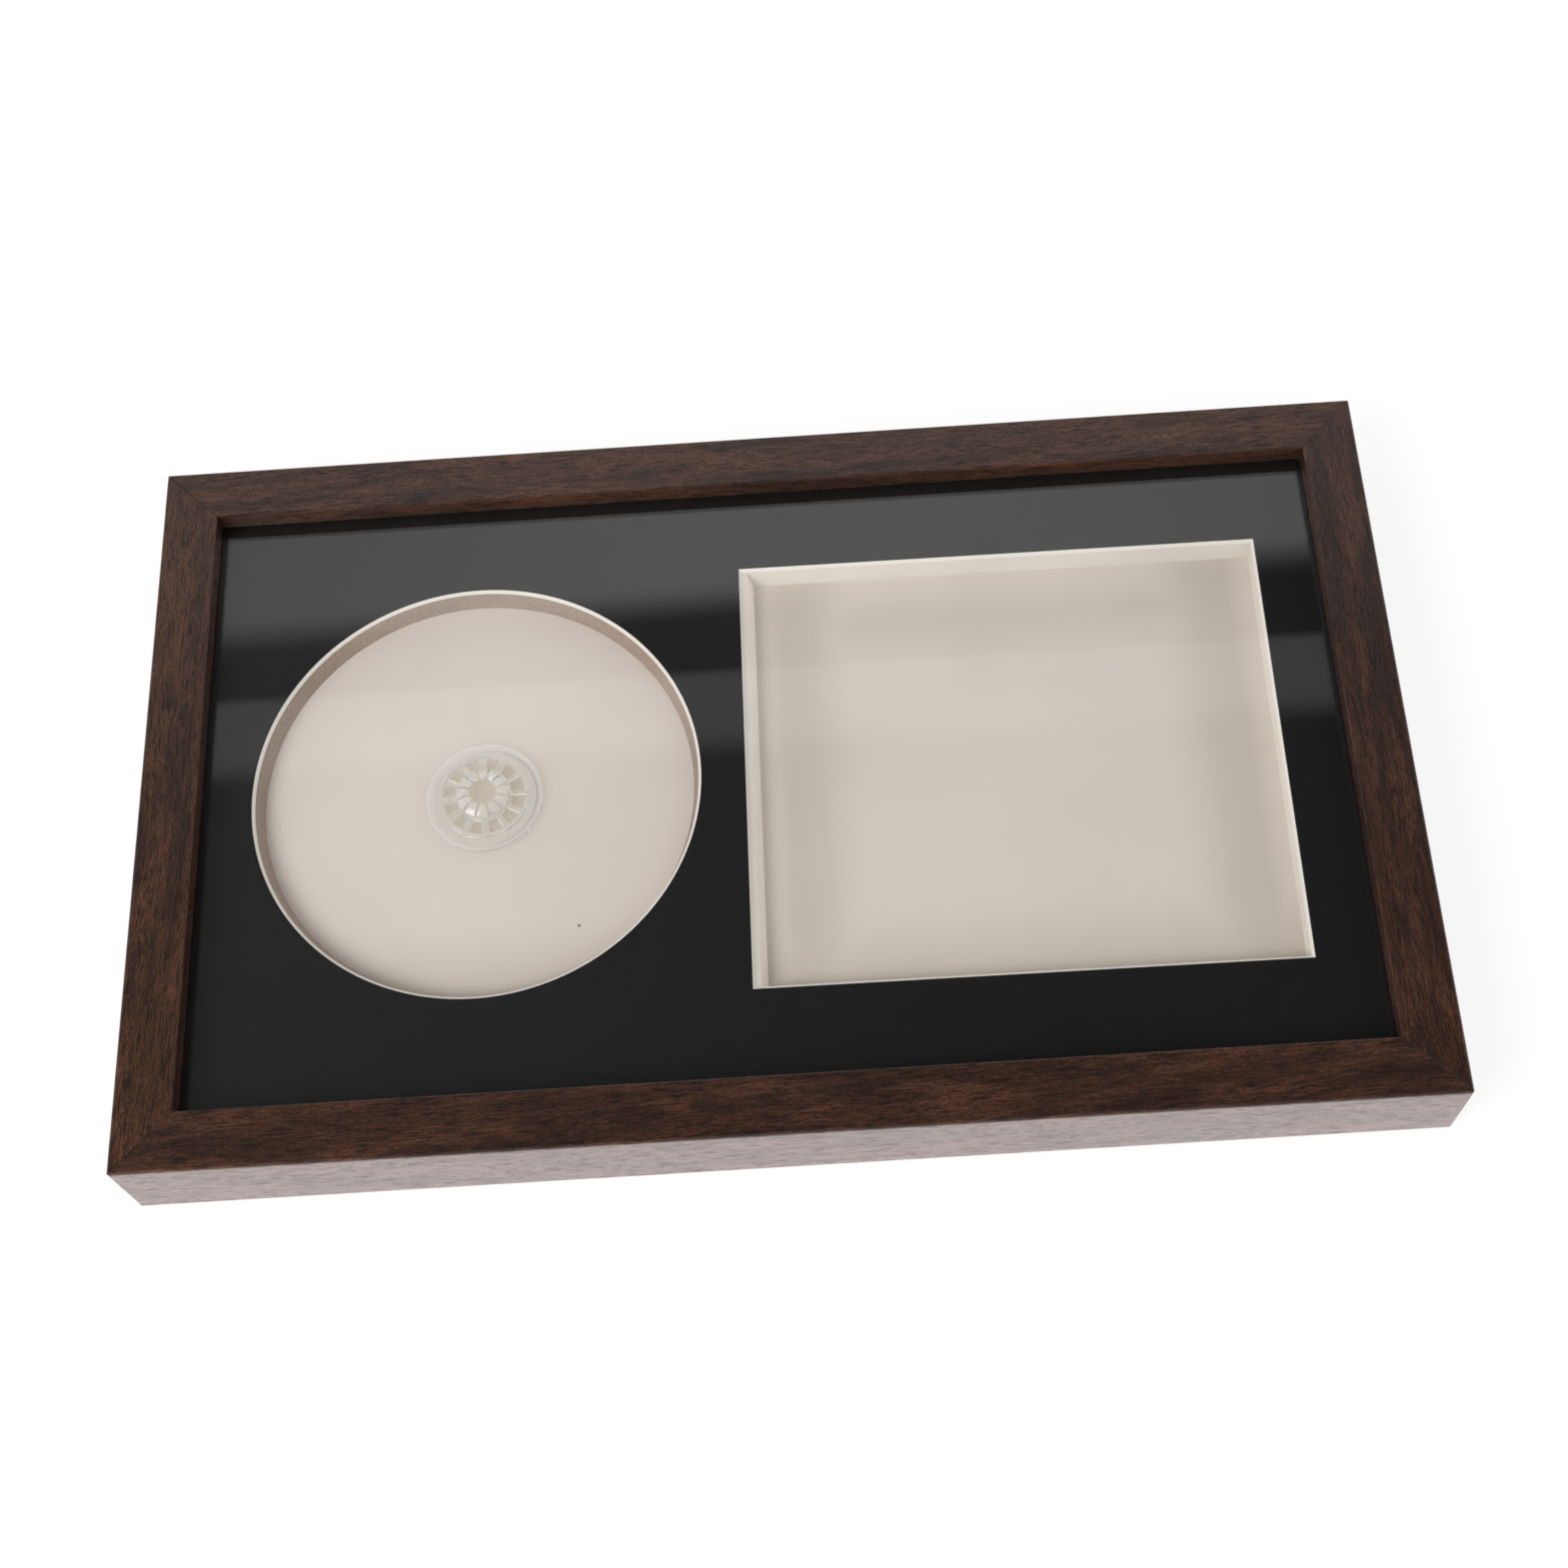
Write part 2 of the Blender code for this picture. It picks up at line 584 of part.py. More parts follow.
def strap(name, centre_x, parent):
    """Strap whose upper end is rolled into a knuckle round the bar of the ring."""
    quarter = math.pi / 2
    strap_bottom = ROLL_RADIUS - STRAP_THICKNESS
    outline = [(-STRAP_LENGTH, strap_bottom), (-STRAP_LENGTH, ROLL_RADIUS)]
    outline += arc((0, 0), ROLL_RADIUS, quarter, ROLL_END_ANGLE, ROLL_STEPS)
    outline += arc((0, 0), ROLL_BORE, ROLL_END_ANGLE, quarter, ROLL_STEPS)
    bm = prism(outline, -STRAP_WIDTH / 2, STRAP_WIDTH / 2)
    # The outline was drawn flat; this stands it up, with its first axis along Y and its width along X
    stood_up = Matrix(((0, 0, 1), (1, 0, 0), (0, 1, 0))).to_4x4()
    bmesh.ops.transform(bm, verts=bm.verts, matrix=stood_up)
    thing = place(bm, name, (centre_x, RING_AXIS_Y, RING_AXIS_Z), parent=parent)
    holes = bmesh.new()
    bore = RIVET_SHANK_RADIUS + TOUCH_GAP
    for row in range(len(STRAP_RIVET_NAMES)):
        y = -STRAP_RIVET_INSET - row * STRAP_RIVET_PITCH
        outline = arc((0, y), bore, 0, math.tau, RIVET_SEGMENTS)[1:]
        prism(outline, strap_bottom - CUT_OVERRUN, ROLL_RADIUS + CUT_OVERRUN, holes)
    cut(thing, guide(holes, f"{name}_holes", (centre_x, RING_AXIS_Y, RING_AXIS_Z)))
    dress(thing, NICKEL)


def ring_points():
    """Path of the ring's wire: the bar on the pivot axis and the bow that hangs from it."""
    corner = RING_CORNER_RADIUS
    bow_drop = RING_REACH - corner
    points = arc((-RING_HALF_WIDTH + corner, -corner), corner, math.pi, math.pi / 2, RING_CORNER_STEPS)
    points += arc((RING_HALF_WIDTH - corner, -corner), corner, math.pi / 2, 0, RING_CORNER_STEPS)
    for step in range(1, RING_BOW_STEPS):
        turn = math.pi * step / RING_BOW_STEPS
        points.append((RING_HALF_WIDTH * math.cos(turn), -corner - bow_drop * math.sin(turn)))
    return points


def ring(name, centre_x, parent):
    """Wire ring hanging from its strap, a closed curve with a round section."""
    curve = bpy.data.curves.new(name, "CURVE")
    curve.dimensions = "3D"
    curve.bevel_depth = RING_WIRE_RADIUS
    curve.bevel_resolution = RING_WIRE_RESOLUTION
    points = ring_points()
    spline = curve.splines.new("POLY")
    spline.points.add(len(points) - 1)
    for point, (x, z) in zip(spline.points, points):
        point.co = (x, 0, z, 1)
    spline.use_cyclic_u = True
    spline.use_smooth = True
    thing = bpy.data.objects.new(name, curve)
    bpy.context.scene.collection.objects.link(thing)
    thing.location = (centre_x, RING_AXIS_Y, RING_AXIS_Z)
    hang(thing, parent)
    dress(thing, NICKEL)


def hangers(parent):
    """Two straps with their rings, and the rivets that hold the straps to the panel."""
    for share in HANGER_SHARES:
        side = "left" if share < 0 else "right"
        strap(f"hanger_strap_{side}", share * RABBET_LENGTH, parent)
        ring(f"hanger_ring_{side}", share * RABBET_LENGTH, parent)
    for name, centre in hanger_rivet_places():
        rivet(f"hanger_rivet_{name}", centre, STRAP_THICKNESS, parent)


def carrier(name, height):
    """Empty that carries the pieces which move as one."""
    thing = bpy.data.objects.new(name, None)
    thing.location = (0, 0, height)
    bpy.context.scene.collection.objects.link(thing)
    return thing


def main():
    """Build what the moulding holds, which lifts off as one, then the back unit that it lifts off."""
    clear_scene()
    front = carrier("frame", 0)
    moulding(front)
    sheet("glazing", GLAZING_BOTTOM, GLAZING_TOP, ACRYLIC, front)
    mat_and_spacer(front)
    back_unit = carrier("back_unit", PANEL_BOTTOM)
    sheet("backing_board", BACKING_BOTTOM, BACKING_TOP, CREAM_BOARD, back_unit)
    disc_hub(back_unit)
    back_panel(back_unit)
    swivel_clips(back_unit)
    hangers(back_unit)
    bpy.context.view_layer.update()


main()
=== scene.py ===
"""Looks of a display frame for a compact disc and its cover, lying face up on a pale floor.

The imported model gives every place. The pieces that show are modelled again over their plain solids, in
finer detail, and each finish is procedural. All lengths are in metres, +Z up.
"""

import json
import logging
import math
from collections.abc import Callable, Iterator, Sequence
from contextlib import contextmanager
from dataclasses import dataclass, field
from enum import Enum
from typing import Any

import bmesh
import bpy
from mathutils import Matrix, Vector

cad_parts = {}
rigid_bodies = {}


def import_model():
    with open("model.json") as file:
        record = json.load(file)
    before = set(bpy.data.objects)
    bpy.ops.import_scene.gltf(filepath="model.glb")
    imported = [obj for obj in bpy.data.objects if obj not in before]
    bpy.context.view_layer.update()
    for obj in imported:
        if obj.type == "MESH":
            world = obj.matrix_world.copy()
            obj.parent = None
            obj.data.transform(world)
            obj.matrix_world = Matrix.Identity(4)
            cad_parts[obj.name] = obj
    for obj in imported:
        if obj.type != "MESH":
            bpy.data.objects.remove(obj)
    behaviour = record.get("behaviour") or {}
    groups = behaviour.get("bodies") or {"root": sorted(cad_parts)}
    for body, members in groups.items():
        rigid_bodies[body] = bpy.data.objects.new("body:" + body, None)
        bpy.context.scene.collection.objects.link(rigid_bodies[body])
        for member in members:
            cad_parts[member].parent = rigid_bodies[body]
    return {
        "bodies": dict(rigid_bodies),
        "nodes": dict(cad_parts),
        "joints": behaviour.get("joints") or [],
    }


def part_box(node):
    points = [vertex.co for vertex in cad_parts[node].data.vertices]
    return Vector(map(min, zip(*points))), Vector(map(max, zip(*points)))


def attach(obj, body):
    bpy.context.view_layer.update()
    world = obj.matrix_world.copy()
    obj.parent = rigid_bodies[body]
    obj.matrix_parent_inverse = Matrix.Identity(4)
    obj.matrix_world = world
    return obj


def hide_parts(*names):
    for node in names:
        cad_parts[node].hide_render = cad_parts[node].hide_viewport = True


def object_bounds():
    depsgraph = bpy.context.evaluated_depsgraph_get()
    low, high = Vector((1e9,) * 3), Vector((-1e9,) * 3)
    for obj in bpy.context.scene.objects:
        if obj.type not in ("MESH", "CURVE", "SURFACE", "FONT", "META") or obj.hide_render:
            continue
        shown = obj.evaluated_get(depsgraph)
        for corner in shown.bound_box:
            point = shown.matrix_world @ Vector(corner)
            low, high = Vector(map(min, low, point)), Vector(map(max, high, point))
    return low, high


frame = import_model()
for spare in set(bpy.data.objects) - {*frame["bodies"].values(), *frame["nodes"].values()}:
    bpy.data.objects.remove(spare)
CAD_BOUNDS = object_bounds()

Piece = bpy.types.Object
Material = bpy.types.Material
Socket = bpy.types.NodeSocket
Inputs = dict[str | int, Any]
Colour = tuple[int, int, int]
Spot = tuple[float, float]
Triple = tuple[float, float, float]
Test = Callable[[Vector, Vector], bool]
Choice = Callable[[Vector, Vector], int]

LOG = logging.getLogger("display_frame")
MM = 0.001
OVERRUN = 2 * MM
MERGE_DISTANCE = 0.001 * MM
SMALL = 0.02 * MM
UPWARD = 0.9
QUARTER = math.pi / 2
WHITE = (1, 1, 1, 1)


def seen(colour: Colour) -> tuple[float, float, float, float]:
    """Turn a colour as seen, 0 to 255, into the linear one that shaders read.

    Args:
        colour: red, green and blue as a picture shows them.

    Returns:
        The linear colour, with full alpha.
    """
    shares = (channel / 255 for channel in colour)
    return (*(s / 12.92 if s <= 0.04045 else ((s + 0.055) / 1.055) ** 2.4 for s in shares), 1.0)


def alone(piece: Piece) -> None:
    """Select one piece and nothing else, in object mode.

    Args:
        piece: the piece to work on.
    """
    if bpy.context.mode != "OBJECT":
        bpy.ops.object.mode_set(mode="OBJECT")
    bpy.ops.object.select_all(action="DESELECT")
    piece.select_set(True)
    bpy.context.view_layer.objects.active = piece


def drop(piece: Piece) -> None:
    """Remove a pattern or a cutter that is used up."""
    bpy.data.objects.remove(piece, do_unlink=True)


def settle(name: str) -> Piece:
    """Name the object that was just made and put its place into its mesh.

    Args:
        name: the object's name.

    Returns:
        The object, at the origin.
    """
    piece = bpy.context.object
    piece.name = piece.data.name = name
    alone(piece)
    bpy.ops.object.transform_apply(location=True, rotation=True, scale=True)
    return piece


def block(name: str, low: Sequence[float], high: Sequence[float]) -> Piece:
    """Add a cube primitive that fills the box between two corners.

    Args:
        name: the object's name.
        low: the box's lowest corner.
        high: its highest corner.

    Returns:
        The new object.
    """
    low, high = Vector(low), Vector(high)
    bpy.ops.mesh.primitive_cube_add(size=1, location=(low + high) / 2, scale=high - low)
    return settle(name)


def drum(name: str, centre: Spot, heights: Spot, radii: Spot, sides: int) -> Piece:
    """Add an upright cone primitive.

    Args:
        name: the object's name.
        centre: where its axis stands.
        heights: its lower and upper end.
        radii: its radius at those two ends.
        sides: how many sides it has.

    Returns:
        The new object.
    """
    low, high = heights
    place = (*centre, (low + high) / 2)
    bpy.ops.mesh.primitive_cone_add(
        vertices=sides, radius1=radii[0], radius2=radii[1], depth=high - low, location=place
    )
    return settle(name)


@contextmanager
def editing(piece: Piece, kind: str) -> Iterator[None]:
    """Hold one piece in edit mode; afterwards it is back in object mode.

    Args:
        piece: the piece to edit.
        kind: what is selected there: VERT, EDGE or FACE.

    Yields:
        Nothing.
    """
    alone(piece)
    bpy.ops.object.mode_set(mode="EDIT")
    bpy.ops.mesh.select_mode(type=kind)
    yield
    bpy.ops.object.mode_set(mode="OBJECT")


def pick(piece: Piece, test: Test) -> int:
    """Select in edit mode what passes a test.

    Args:
        piece: the piece in edit mode.
        test: reads the centre and normal of a face, both ends of an edge, or a vertex and its normal.

    Returns:
        How many were selected.
    """
    bpy.ops.mesh.select_all(action="DESELECT")
    mesh = bmesh.from_edit_mesh(piece.data)
    mesh.normal_update()
    by_vertex, by_edge, _ = bpy.context.tool_settings.mesh_select_mode
    if by_vertex:
        chosen = [v for v in mesh.verts if test(v.co, v.normal)]
    elif by_edge:
        chosen = [e for e in mesh.edges if test(e.verts[0].co, e.verts[1].co)]
    else:
        chosen = [f for f in mesh.faces if test(f.calc_center_median(), f.normal)]
    for element in chosen:
        element.select_set(True)
    mesh.select_flush_mode()
    bmesh.update_edit_mesh(piece.data)
    return len(chosen)


def extrude(step: Sequence[float]) -> None:
    """Extrude what is selected by one step, in edit mode."""
    bpy.ops.mesh.extrude_region_move(TRANSFORM_OT_translate={"value": step})


def bisect(place: Sequence[float], normal: Sequence[float], clear: bool = False) -> None:
    """Cut the piece with a plane, in edit mode.

    Args:
        place: a point on the cut.
        normal: the cut's normal.
        clear: whether what lies beyond is dropped and the cut closed.
    """
    bpy.ops.mesh.select_all(action="SELECT")
    bpy.ops.mesh.bisect(
        plane_co=place, plane_no=normal, use_fill=clear, clear_outer=clear, threshold=MERGE_DISTANCE
    )


def ease(piece: Piece, test: Test, width: float, steps: int = 3) -> None:
    """Round the edges that pass a test, in edit mode with edges selected."""
    if pick(piece, test):
        bpy.ops.mesh.bevel(offset=width, segments=steps, affect="EDGES")


def weld() -> None:
    """Merge doubled vertices in edit mode, and leave all selected."""
    bpy.ops.mesh.select_all(action="SELECT")
    bpy.ops.mesh.remove_doubles(threshold=MERGE_DISTANCE)


def heal() -> None:
    """Merge doubled vertices and turn all faces outwards, in edit mode."""
    weld()
    bpy.ops.mesh.normals_make_consistent(inside=False)


def spin(centre: Spot, steps: int, sweep: float = math.tau) -> None:
    """Spin all about an upright axis and close it, in edit mode.

    Args:
        centre: where the axis stands.
        steps: how many steps the sweep takes.
        sweep: its angle.
    """
    bpy.ops.mesh.select_all(action="SELECT")
    bpy.ops.mesh.spin(steps=steps, angle=sweep, center=(*centre, 0), axis=(0, 0, 1))
    heal()


def trace(name: str, points: Sequence[Sequence[float]]) -> Piece:
    """Draw a line of edges by extruding one vertex from point to point.

    Args:
        name: the object's name.
        points: the places it runs through.

    Returns:
        The line.
    """
    bpy.ops.mesh.primitive_plane_add(size=MM, location=points[0])
    piece = settle(name)
    with editing(piece, "VERT"):
        bpy.ops.mesh.select_all(action="SELECT")
        bpy.ops.mesh.merge(type="CENTER")
        for here, there in zip(points, points[1:]):
            extrude(Vector(there) - Vector(here))
    return piece


def lathe(name: str, profile: Sequence[Spot], centre: Spot, steps: int, rounding: float = 0.0) -> Piece:
    """Draw a profile of radius and height, round its corners and spin it about an upright axis.

    Args:
        name: the object's name.
        profile: its points; a closed one ends where it starts, an open one starts and ends on the axis.
        centre: where the axis stands.
        steps: how many steps a full turn takes.
        rounding: width of the rounding at each corner.

    Returns:
        The turned piece.
    """
    x, y = centre
    piece = trace(name, [(x + radius, y, height) for radius, height in profile])
    with editing(piece, "VERT"):
        weld()
        if rounding:
            pick(piece, lambda point, _: point.x - x > SMALL)
            bpy.ops.mesh.bevel(offset=rounding, segments=3, affect="VERTICES")
        spin(centre, steps)
    return piece


def modify(piece: Piece, kind: str, **settings: Any) -> None:
    """Add one modifier to a piece and apply it.

    Args:
        piece: the piece that is changed.
        kind: the modifier's type.
        settings: the modifier's own properties.
    """
    alone(piece)
    modifier = piece.modifiers.new(kind.lower(), kind)
    for name, value in settings.items():
        setattr(modifier, name, value)
    bpy.ops.object.modifier_apply(modifier=modifier.name)


def combine(piece: Piece, tools: Sequence[Piece], operation: str = "DIFFERENCE") -> None:
    """Cut other pieces, which don't touch each other, out of a piece, or with UNION join them to it.

    Args:
        piece: the piece that is changed.
        tools: the other pieces, which are used up.
        operation: DIFFERENCE or UNION.
    """
    alone(tools[0])
    for tool in tools[1:]:
        tool.select_set(True)
    if len(tools) > 1:
        bpy.ops.object.join()
    modify(piece, "BOOLEAN", operation=operation, solver="EXACT", object=tools[0])
    drop(tools[0])


def twin(piece: Piece, name: str, shift: Sequence[float], turn: float = 0.0) -> Piece:
    """Copy a piece with its own mesh, turned about the upright axis at the origin and then moved.

    Args:
        piece: the pattern.
        name: the copy's name.
        shift: how far it moves.
        turn: its angle.

    Returns:
        The copy.
    """
    alone(piece)
    bpy.ops.object.duplicate(linked=False)
    copy = bpy.context.object
    copy.location = shift
    copy.rotation_euler.z = turn
    return settle(name)


def dress(piece: Piece, finishes: Sequence["Finish"], choose: Choice | None = None) -> None:
    """Give a piece its materials.

    Args:
        piece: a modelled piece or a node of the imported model.
        finishes: its finishes, in the order of its slots.
        choose: reads a face's centre and normal and returns the number of its finish.
    """
    piece.data.materials.clear()
    for finish in finishes:
        piece.data.materials.append(finish.make())
    for face in piece.data.polygons:
        face.material_index = choose(face.center, face.normal) if choose else 0


def hand_over(
    piece: Piece, finishes: Sequence["Finish"], body: str, slot: str, *nodes: str,
    choose: Choice | None = None, sharp: float = 35.0,
) -> None:
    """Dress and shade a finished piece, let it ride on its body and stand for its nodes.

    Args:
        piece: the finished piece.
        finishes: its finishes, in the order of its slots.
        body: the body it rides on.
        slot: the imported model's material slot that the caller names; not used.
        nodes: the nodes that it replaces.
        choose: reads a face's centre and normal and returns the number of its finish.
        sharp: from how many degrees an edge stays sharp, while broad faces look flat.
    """
    dress(piece, finishes, choose)
    alone(piece)
    bpy.ops.object.shade_smooth_by_angle(angle=math.radians(sharp))
    modify(piece, "WEIGHTED_NORMAL", keep_sharp=True, weight=100)
    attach(piece, body)
    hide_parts(*nodes)
    LOG.info("%s: %d faces, on %s, for %s", piece.name, len(piece.data.polygons), body, ", ".join(nodes))


class Graph:
    """Adds nodes to one material, world or group and links them."""

    def __init__(self, tree: bpy.types.NodeTree) -> None:
        """Start on an empty tree."""
        self.tree = tree
        tree.nodes.clear()

    def feed(self, node: bpy.types.Node, inputs: Inputs) -> None:
        """Set inputs of a node.

        Args:
            node: the node.
            inputs: for each socket, by name or number, a value or the output that feeds it.
        """
        for key, value in inputs.items():
            if isinstance(value, bpy.types.NodeSocket):
                self.tree.links.new(value, node.inputs[key])
            else:
                node.inputs[key].default_value = value

    def add(self, kind: str, inputs: Inputs | None = None, **settings: Any) -> bpy.types.Node:
        """Add one node.

        Args:
            kind: the node's type without its ShaderNode prefix, or NodeGroupInput and the like in full.
            inputs: what its inputs are set to.
            settings: the node's own properties.

        Returns:
            The new node.
        """
        node = self.tree.nodes.new(kind if kind.startswith("NodeGroup") else "ShaderNode" + kind)
        for name, value in settings.items():
            setattr(node, name, value)
        self.feed(node, inputs or {})
        return node

    def maths(self, operation: str, *values: Any) -> Socket:
        """Put one to three values through a Math node."""
        return self.add("Math", dict(enumerate(values)), operation=operation).outputs[0]

    def blend(self, share: Any, low: Any, high: Any) -> Socket:
        """Mix two values."""
        return self.add("Mix", {0: share, 2: low, 3: high}, data_type="FLOAT").outputs[0]

    def mix(self, share: Any, low: Any, high: Any, blend: str = "MIX") -> Socket:
        """Mix two colours."""
        inputs = {0: share, 6: low, 7: high}
        return self.add("Mix", inputs, data_type="RGBA", blend_type=blend).outputs[2]

    def fade(self, value: Socket, start: float, end: float, low: float = 0.0, high: float = 1.0) -> Socket:
        """Run smoothly from low to high while a value goes from start to end."""
        inputs = {"Value": value, "From Min": start, "From Max": end, "To Min": low, "To Max": high}
        return self.add("MapRange", inputs, interpolation_type="SMOOTHSTEP").outputs[0]

    def noise(self, where: Socket, stretch: Triple, detail: float = 3.0, roughness: float = 0.5) -> Socket:
        """Noise with so many features a metre along each axis.

        Args:
            where: the coordinates.
            stretch: features a metre along X, Y and Z.
            detail: how many finer layers it has.
            roughness: how strong those are.

        Returns:
            The noise, from 0 to 1.
        """
        spread = self.add("VectorMath", {0: where, 1: stretch}, operation="MULTIPLY").outputs[0]
        inputs = {"Vector": spread, "Scale": 1.0, "Detail": detail, "Roughness": roughness}
        return self.add("TexNoise", inputs).outputs[0]

    def scaled(self, where: Socket, grain: Any) -> Socket:
        """Coordinates times a number of features a metre."""
        return self.add("VectorMath", {0: where, "Scale": grain}, operation="SCALE").outputs[0]

    def bump(self, height: Socket, depth: float, strength: float = 1.0) -> Socket:
        """Normal of a surface whose height runs from 0 to a depth in metres."""
        inputs = {"Height": height, "Distance": depth, "Strength": strength}
        return self.add("Bump", inputs).outputs[0]

    def own_place(self) -> Socket:
        """Object coordinates of the piece."""
        return self.add("TexCoord").outputs["Object"]


class Effect(Enum):
    """Surface effects that more than one material uses, each a node group that is built once."""

    WOOD_FIGURE = "wood_figure"
    TOOTH = "tooth"
    RUB = "rub"
    LINT = "lint"

    def tree(self) -> bpy.types.NodeTree:
        """Find this effect's node group, or build it the first time.

        Returns:
            The node group.
        """
        known = bpy.data.node_groups.get(self.value)
        if known:
            return known
        tree = bpy.data.node_groups.new(self.value, "ShaderNodeTree")
        builders = {
            Effect.WOOD_FIGURE: build_wood_figure,
            Effect.TOOTH: build_tooth,
            Effect.RUB: build_rub,
            Effect.LINT: build_lint,
        }
        builders[self](Graph(tree))
        return tree

    def use(self, graph: Graph, inputs: Inputs) -> Any:
        """Place this effect in a material and return its outputs."""
        return graph.add("Group", inputs, node_tree=self.tree()).outputs


def open_group(graph: Graph, inputs: dict[str, str], outputs: dict[str, str]) -> tuple[Any, bpy.types.Node]:
    """Give a node group its sockets.

    Args:
        graph: the group's graph.
        inputs: each input's kind, Float, Vector or Color, by name.
        outputs: the same for each output.

    Returns:
        What the group is given, by name, and its output node.
    """
    for side, sockets in (("INPUT", inputs), ("OUTPUT", outputs)):
        for name, kind in sockets.items():
            graph.tree.interface.new_socket(name, in_out=side, socket_type="NodeSocket" + kind)
    return graph.add("NodeGroupInput").outputs, graph.add("NodeGroupOutput")


def build_wood_figure(graph: Graph) -> None:
    """Figure of straight-grained dark wood along X: drifting streaks, warm patches and short open pores.

    Args:
        graph: the group's graph.
    """
    given, result = open_group(
        graph,
        {"Vector": "Vector", "Dark": "Color", "Middle": "Color", "Warm": "Color"},
        {"Color": "Color", "Pores": "Float", "Height": "Float"},
    )
    drift_width = 7 * MM
    drift = graph.noise(given["Vector"], (11, 55, 55), 2.0)
    sideways = graph.maths("MULTIPLY_ADD", drift, drift_width, -drift_width / 2)
    shift = graph.add("CombineXYZ", {"Y": sideways, "Z": sideways}).outputs[0]
    where = graph.add("VectorMath", {0: given["Vector"], 1: shift}, operation="ADD").outputs[0]
    bands, streaks, fibres, warmth, dashes, crowd = (
        graph.noise(where, (along, across, across), detail, roughness)
        for along, across, detail, roughness in (
            (14, 210, 4.0, 0.6), (120, 2600, 5.0, 0.7), (800, 4400, 3.0, 0.75),
            (36, 160, 4.0, 0.6), (170, 3000, 1.0, 0.5), (40, 330, 2.0, 0.5),
        )
    )
    threshold = graph.maths("MULTIPLY_ADD", crowd, -0.24, 0.67)
    pores = graph.fade(graph.maths("SUBTRACT", dashes, threshold), 0.0, 0.04)
    colour = graph.mix(graph.fade(bands, 0.36, 0.60, 0.35, 1.0), given["Dark"], given["Middle"])
    colour = graph.mix(graph.fade(warmth, 0.45, 0.62, 0.0, 0.6), colour, given["Warm"])
    for shade in (
        graph.fade(streaks, 0.34, 0.62, 0.62, 1.22),
        graph.fade(fibres, 0.36, 0.64, 0.46, 1.54),
        graph.maths("MULTIPLY_ADD", pores, -0.65, 1.0),
    ):
        colour = graph.mix(1.0, colour, shade, "MULTIPLY")
    height = graph.maths("MULTIPLY_ADD", fibres, 0.35, graph.maths("MULTIPLY", pores, -0.9))
    graph.feed(result, {"Color": colour, "Pores": pores, "Height": height})


def build_tooth(graph: Graph) -> None:
    """Tooth of paper, card, foam and fibreboard: a fine height and a slow change of tone.

    Args:
        graph: the group's graph.
    """
    given, result = open_group(
        graph, {"Vector": "Vector", "Grain": "Float"}, {"Height": "Float", "Tone": "Float", "Fleck": "Float"}
    )
    spread = graph.scaled(given["Vector"], given["Grain"])
    fine = graph.noise(spread, (1, 1, 1), 4.0, 0.6)
    fleck = graph.noise(spread, (0.35, 0.35, 0.35), 2.0)
    slow = graph.noise(given["Vector"], (24, 24, 24), 2.0)
    graph.feed(result, {"Height": fine, "Tone": slow, "Fleck": fleck})


def build_rub(graph: Graph) -> None:
    """Handling of plated metal: fine drawn lines, and patches that are rubbed duller.

    Args:
        graph: the group's graph.
    """
    given, result = open_group(
        graph, {"Vector": "Vector", "Grain": "Float"}, {"Height": "Float", "Dull": "Float"}
    )
    lines = graph.noise(graph.scaled(given["Vector"], given["Grain"]), (1, 14, 14), 3.0)
    patches = graph.noise(given["Vector"], (420, 420, 420), 3.0, 0.6)
    graph.feed(result, {"Height": lines, "Dull": graph.fade(patches, 0.40, 0.66)})


def build_lint(graph: Graph) -> None:
    """Rare dark specks, each a small dot in a cell of its own.

    Args:
        graph: the group's graph.
    """
    given, result = open_group(
        graph, {"Vector": "Vector", "Cells": "Float", "Rarity": "Float"}, {"Mask": "Float"}
    )
    cells = graph.add("TexVoronoi", {"Vector": given["Vector"], "Scale": given["Cells"], "Randomness": 1.0})
    chosen = graph.add("SeparateColor", {0: cells.outputs["Color"]}).outputs[0]
    here = graph.maths("GREATER_THAN", chosen, given["Rarity"])
    dot = graph.fade(cells.outputs["Distance"], 0.016, 0.030, 1.0, 0.0)
    graph.feed(result, {"Mask": graph.maths("MULTIPLY", here, dot)})


@dataclass(frozen=True)
class Finish:
    """A finish of one piece: its name, its colour as seen and its roughness."""

    name: str
    colour: Colour
    roughness: float

    def make(self) -> Material:
        """Build the material, or find the one already built under this name.

        Returns:
            The material.
        """
        known = bpy.data.materials.get(self.name)
        if known:
            return known
        material = bpy.data.materials.new(self.name)
        material.use_nodes = True
        graph = Graph(material.node_tree)
        shader = graph.add("BsdfPrincipled", {"Base Color": seen(self.colour), "Roughness": self.roughness})
        graph.add("OutputMaterial", {"Surface": self.work(graph, shader)})
        return material

    def work(self, graph: Graph, shader: bpy.types.Node) -> Socket:
        """Add this finish's own nodes and return what feeds the output; each kind of finish has its own."""
        raise NotImplementedError


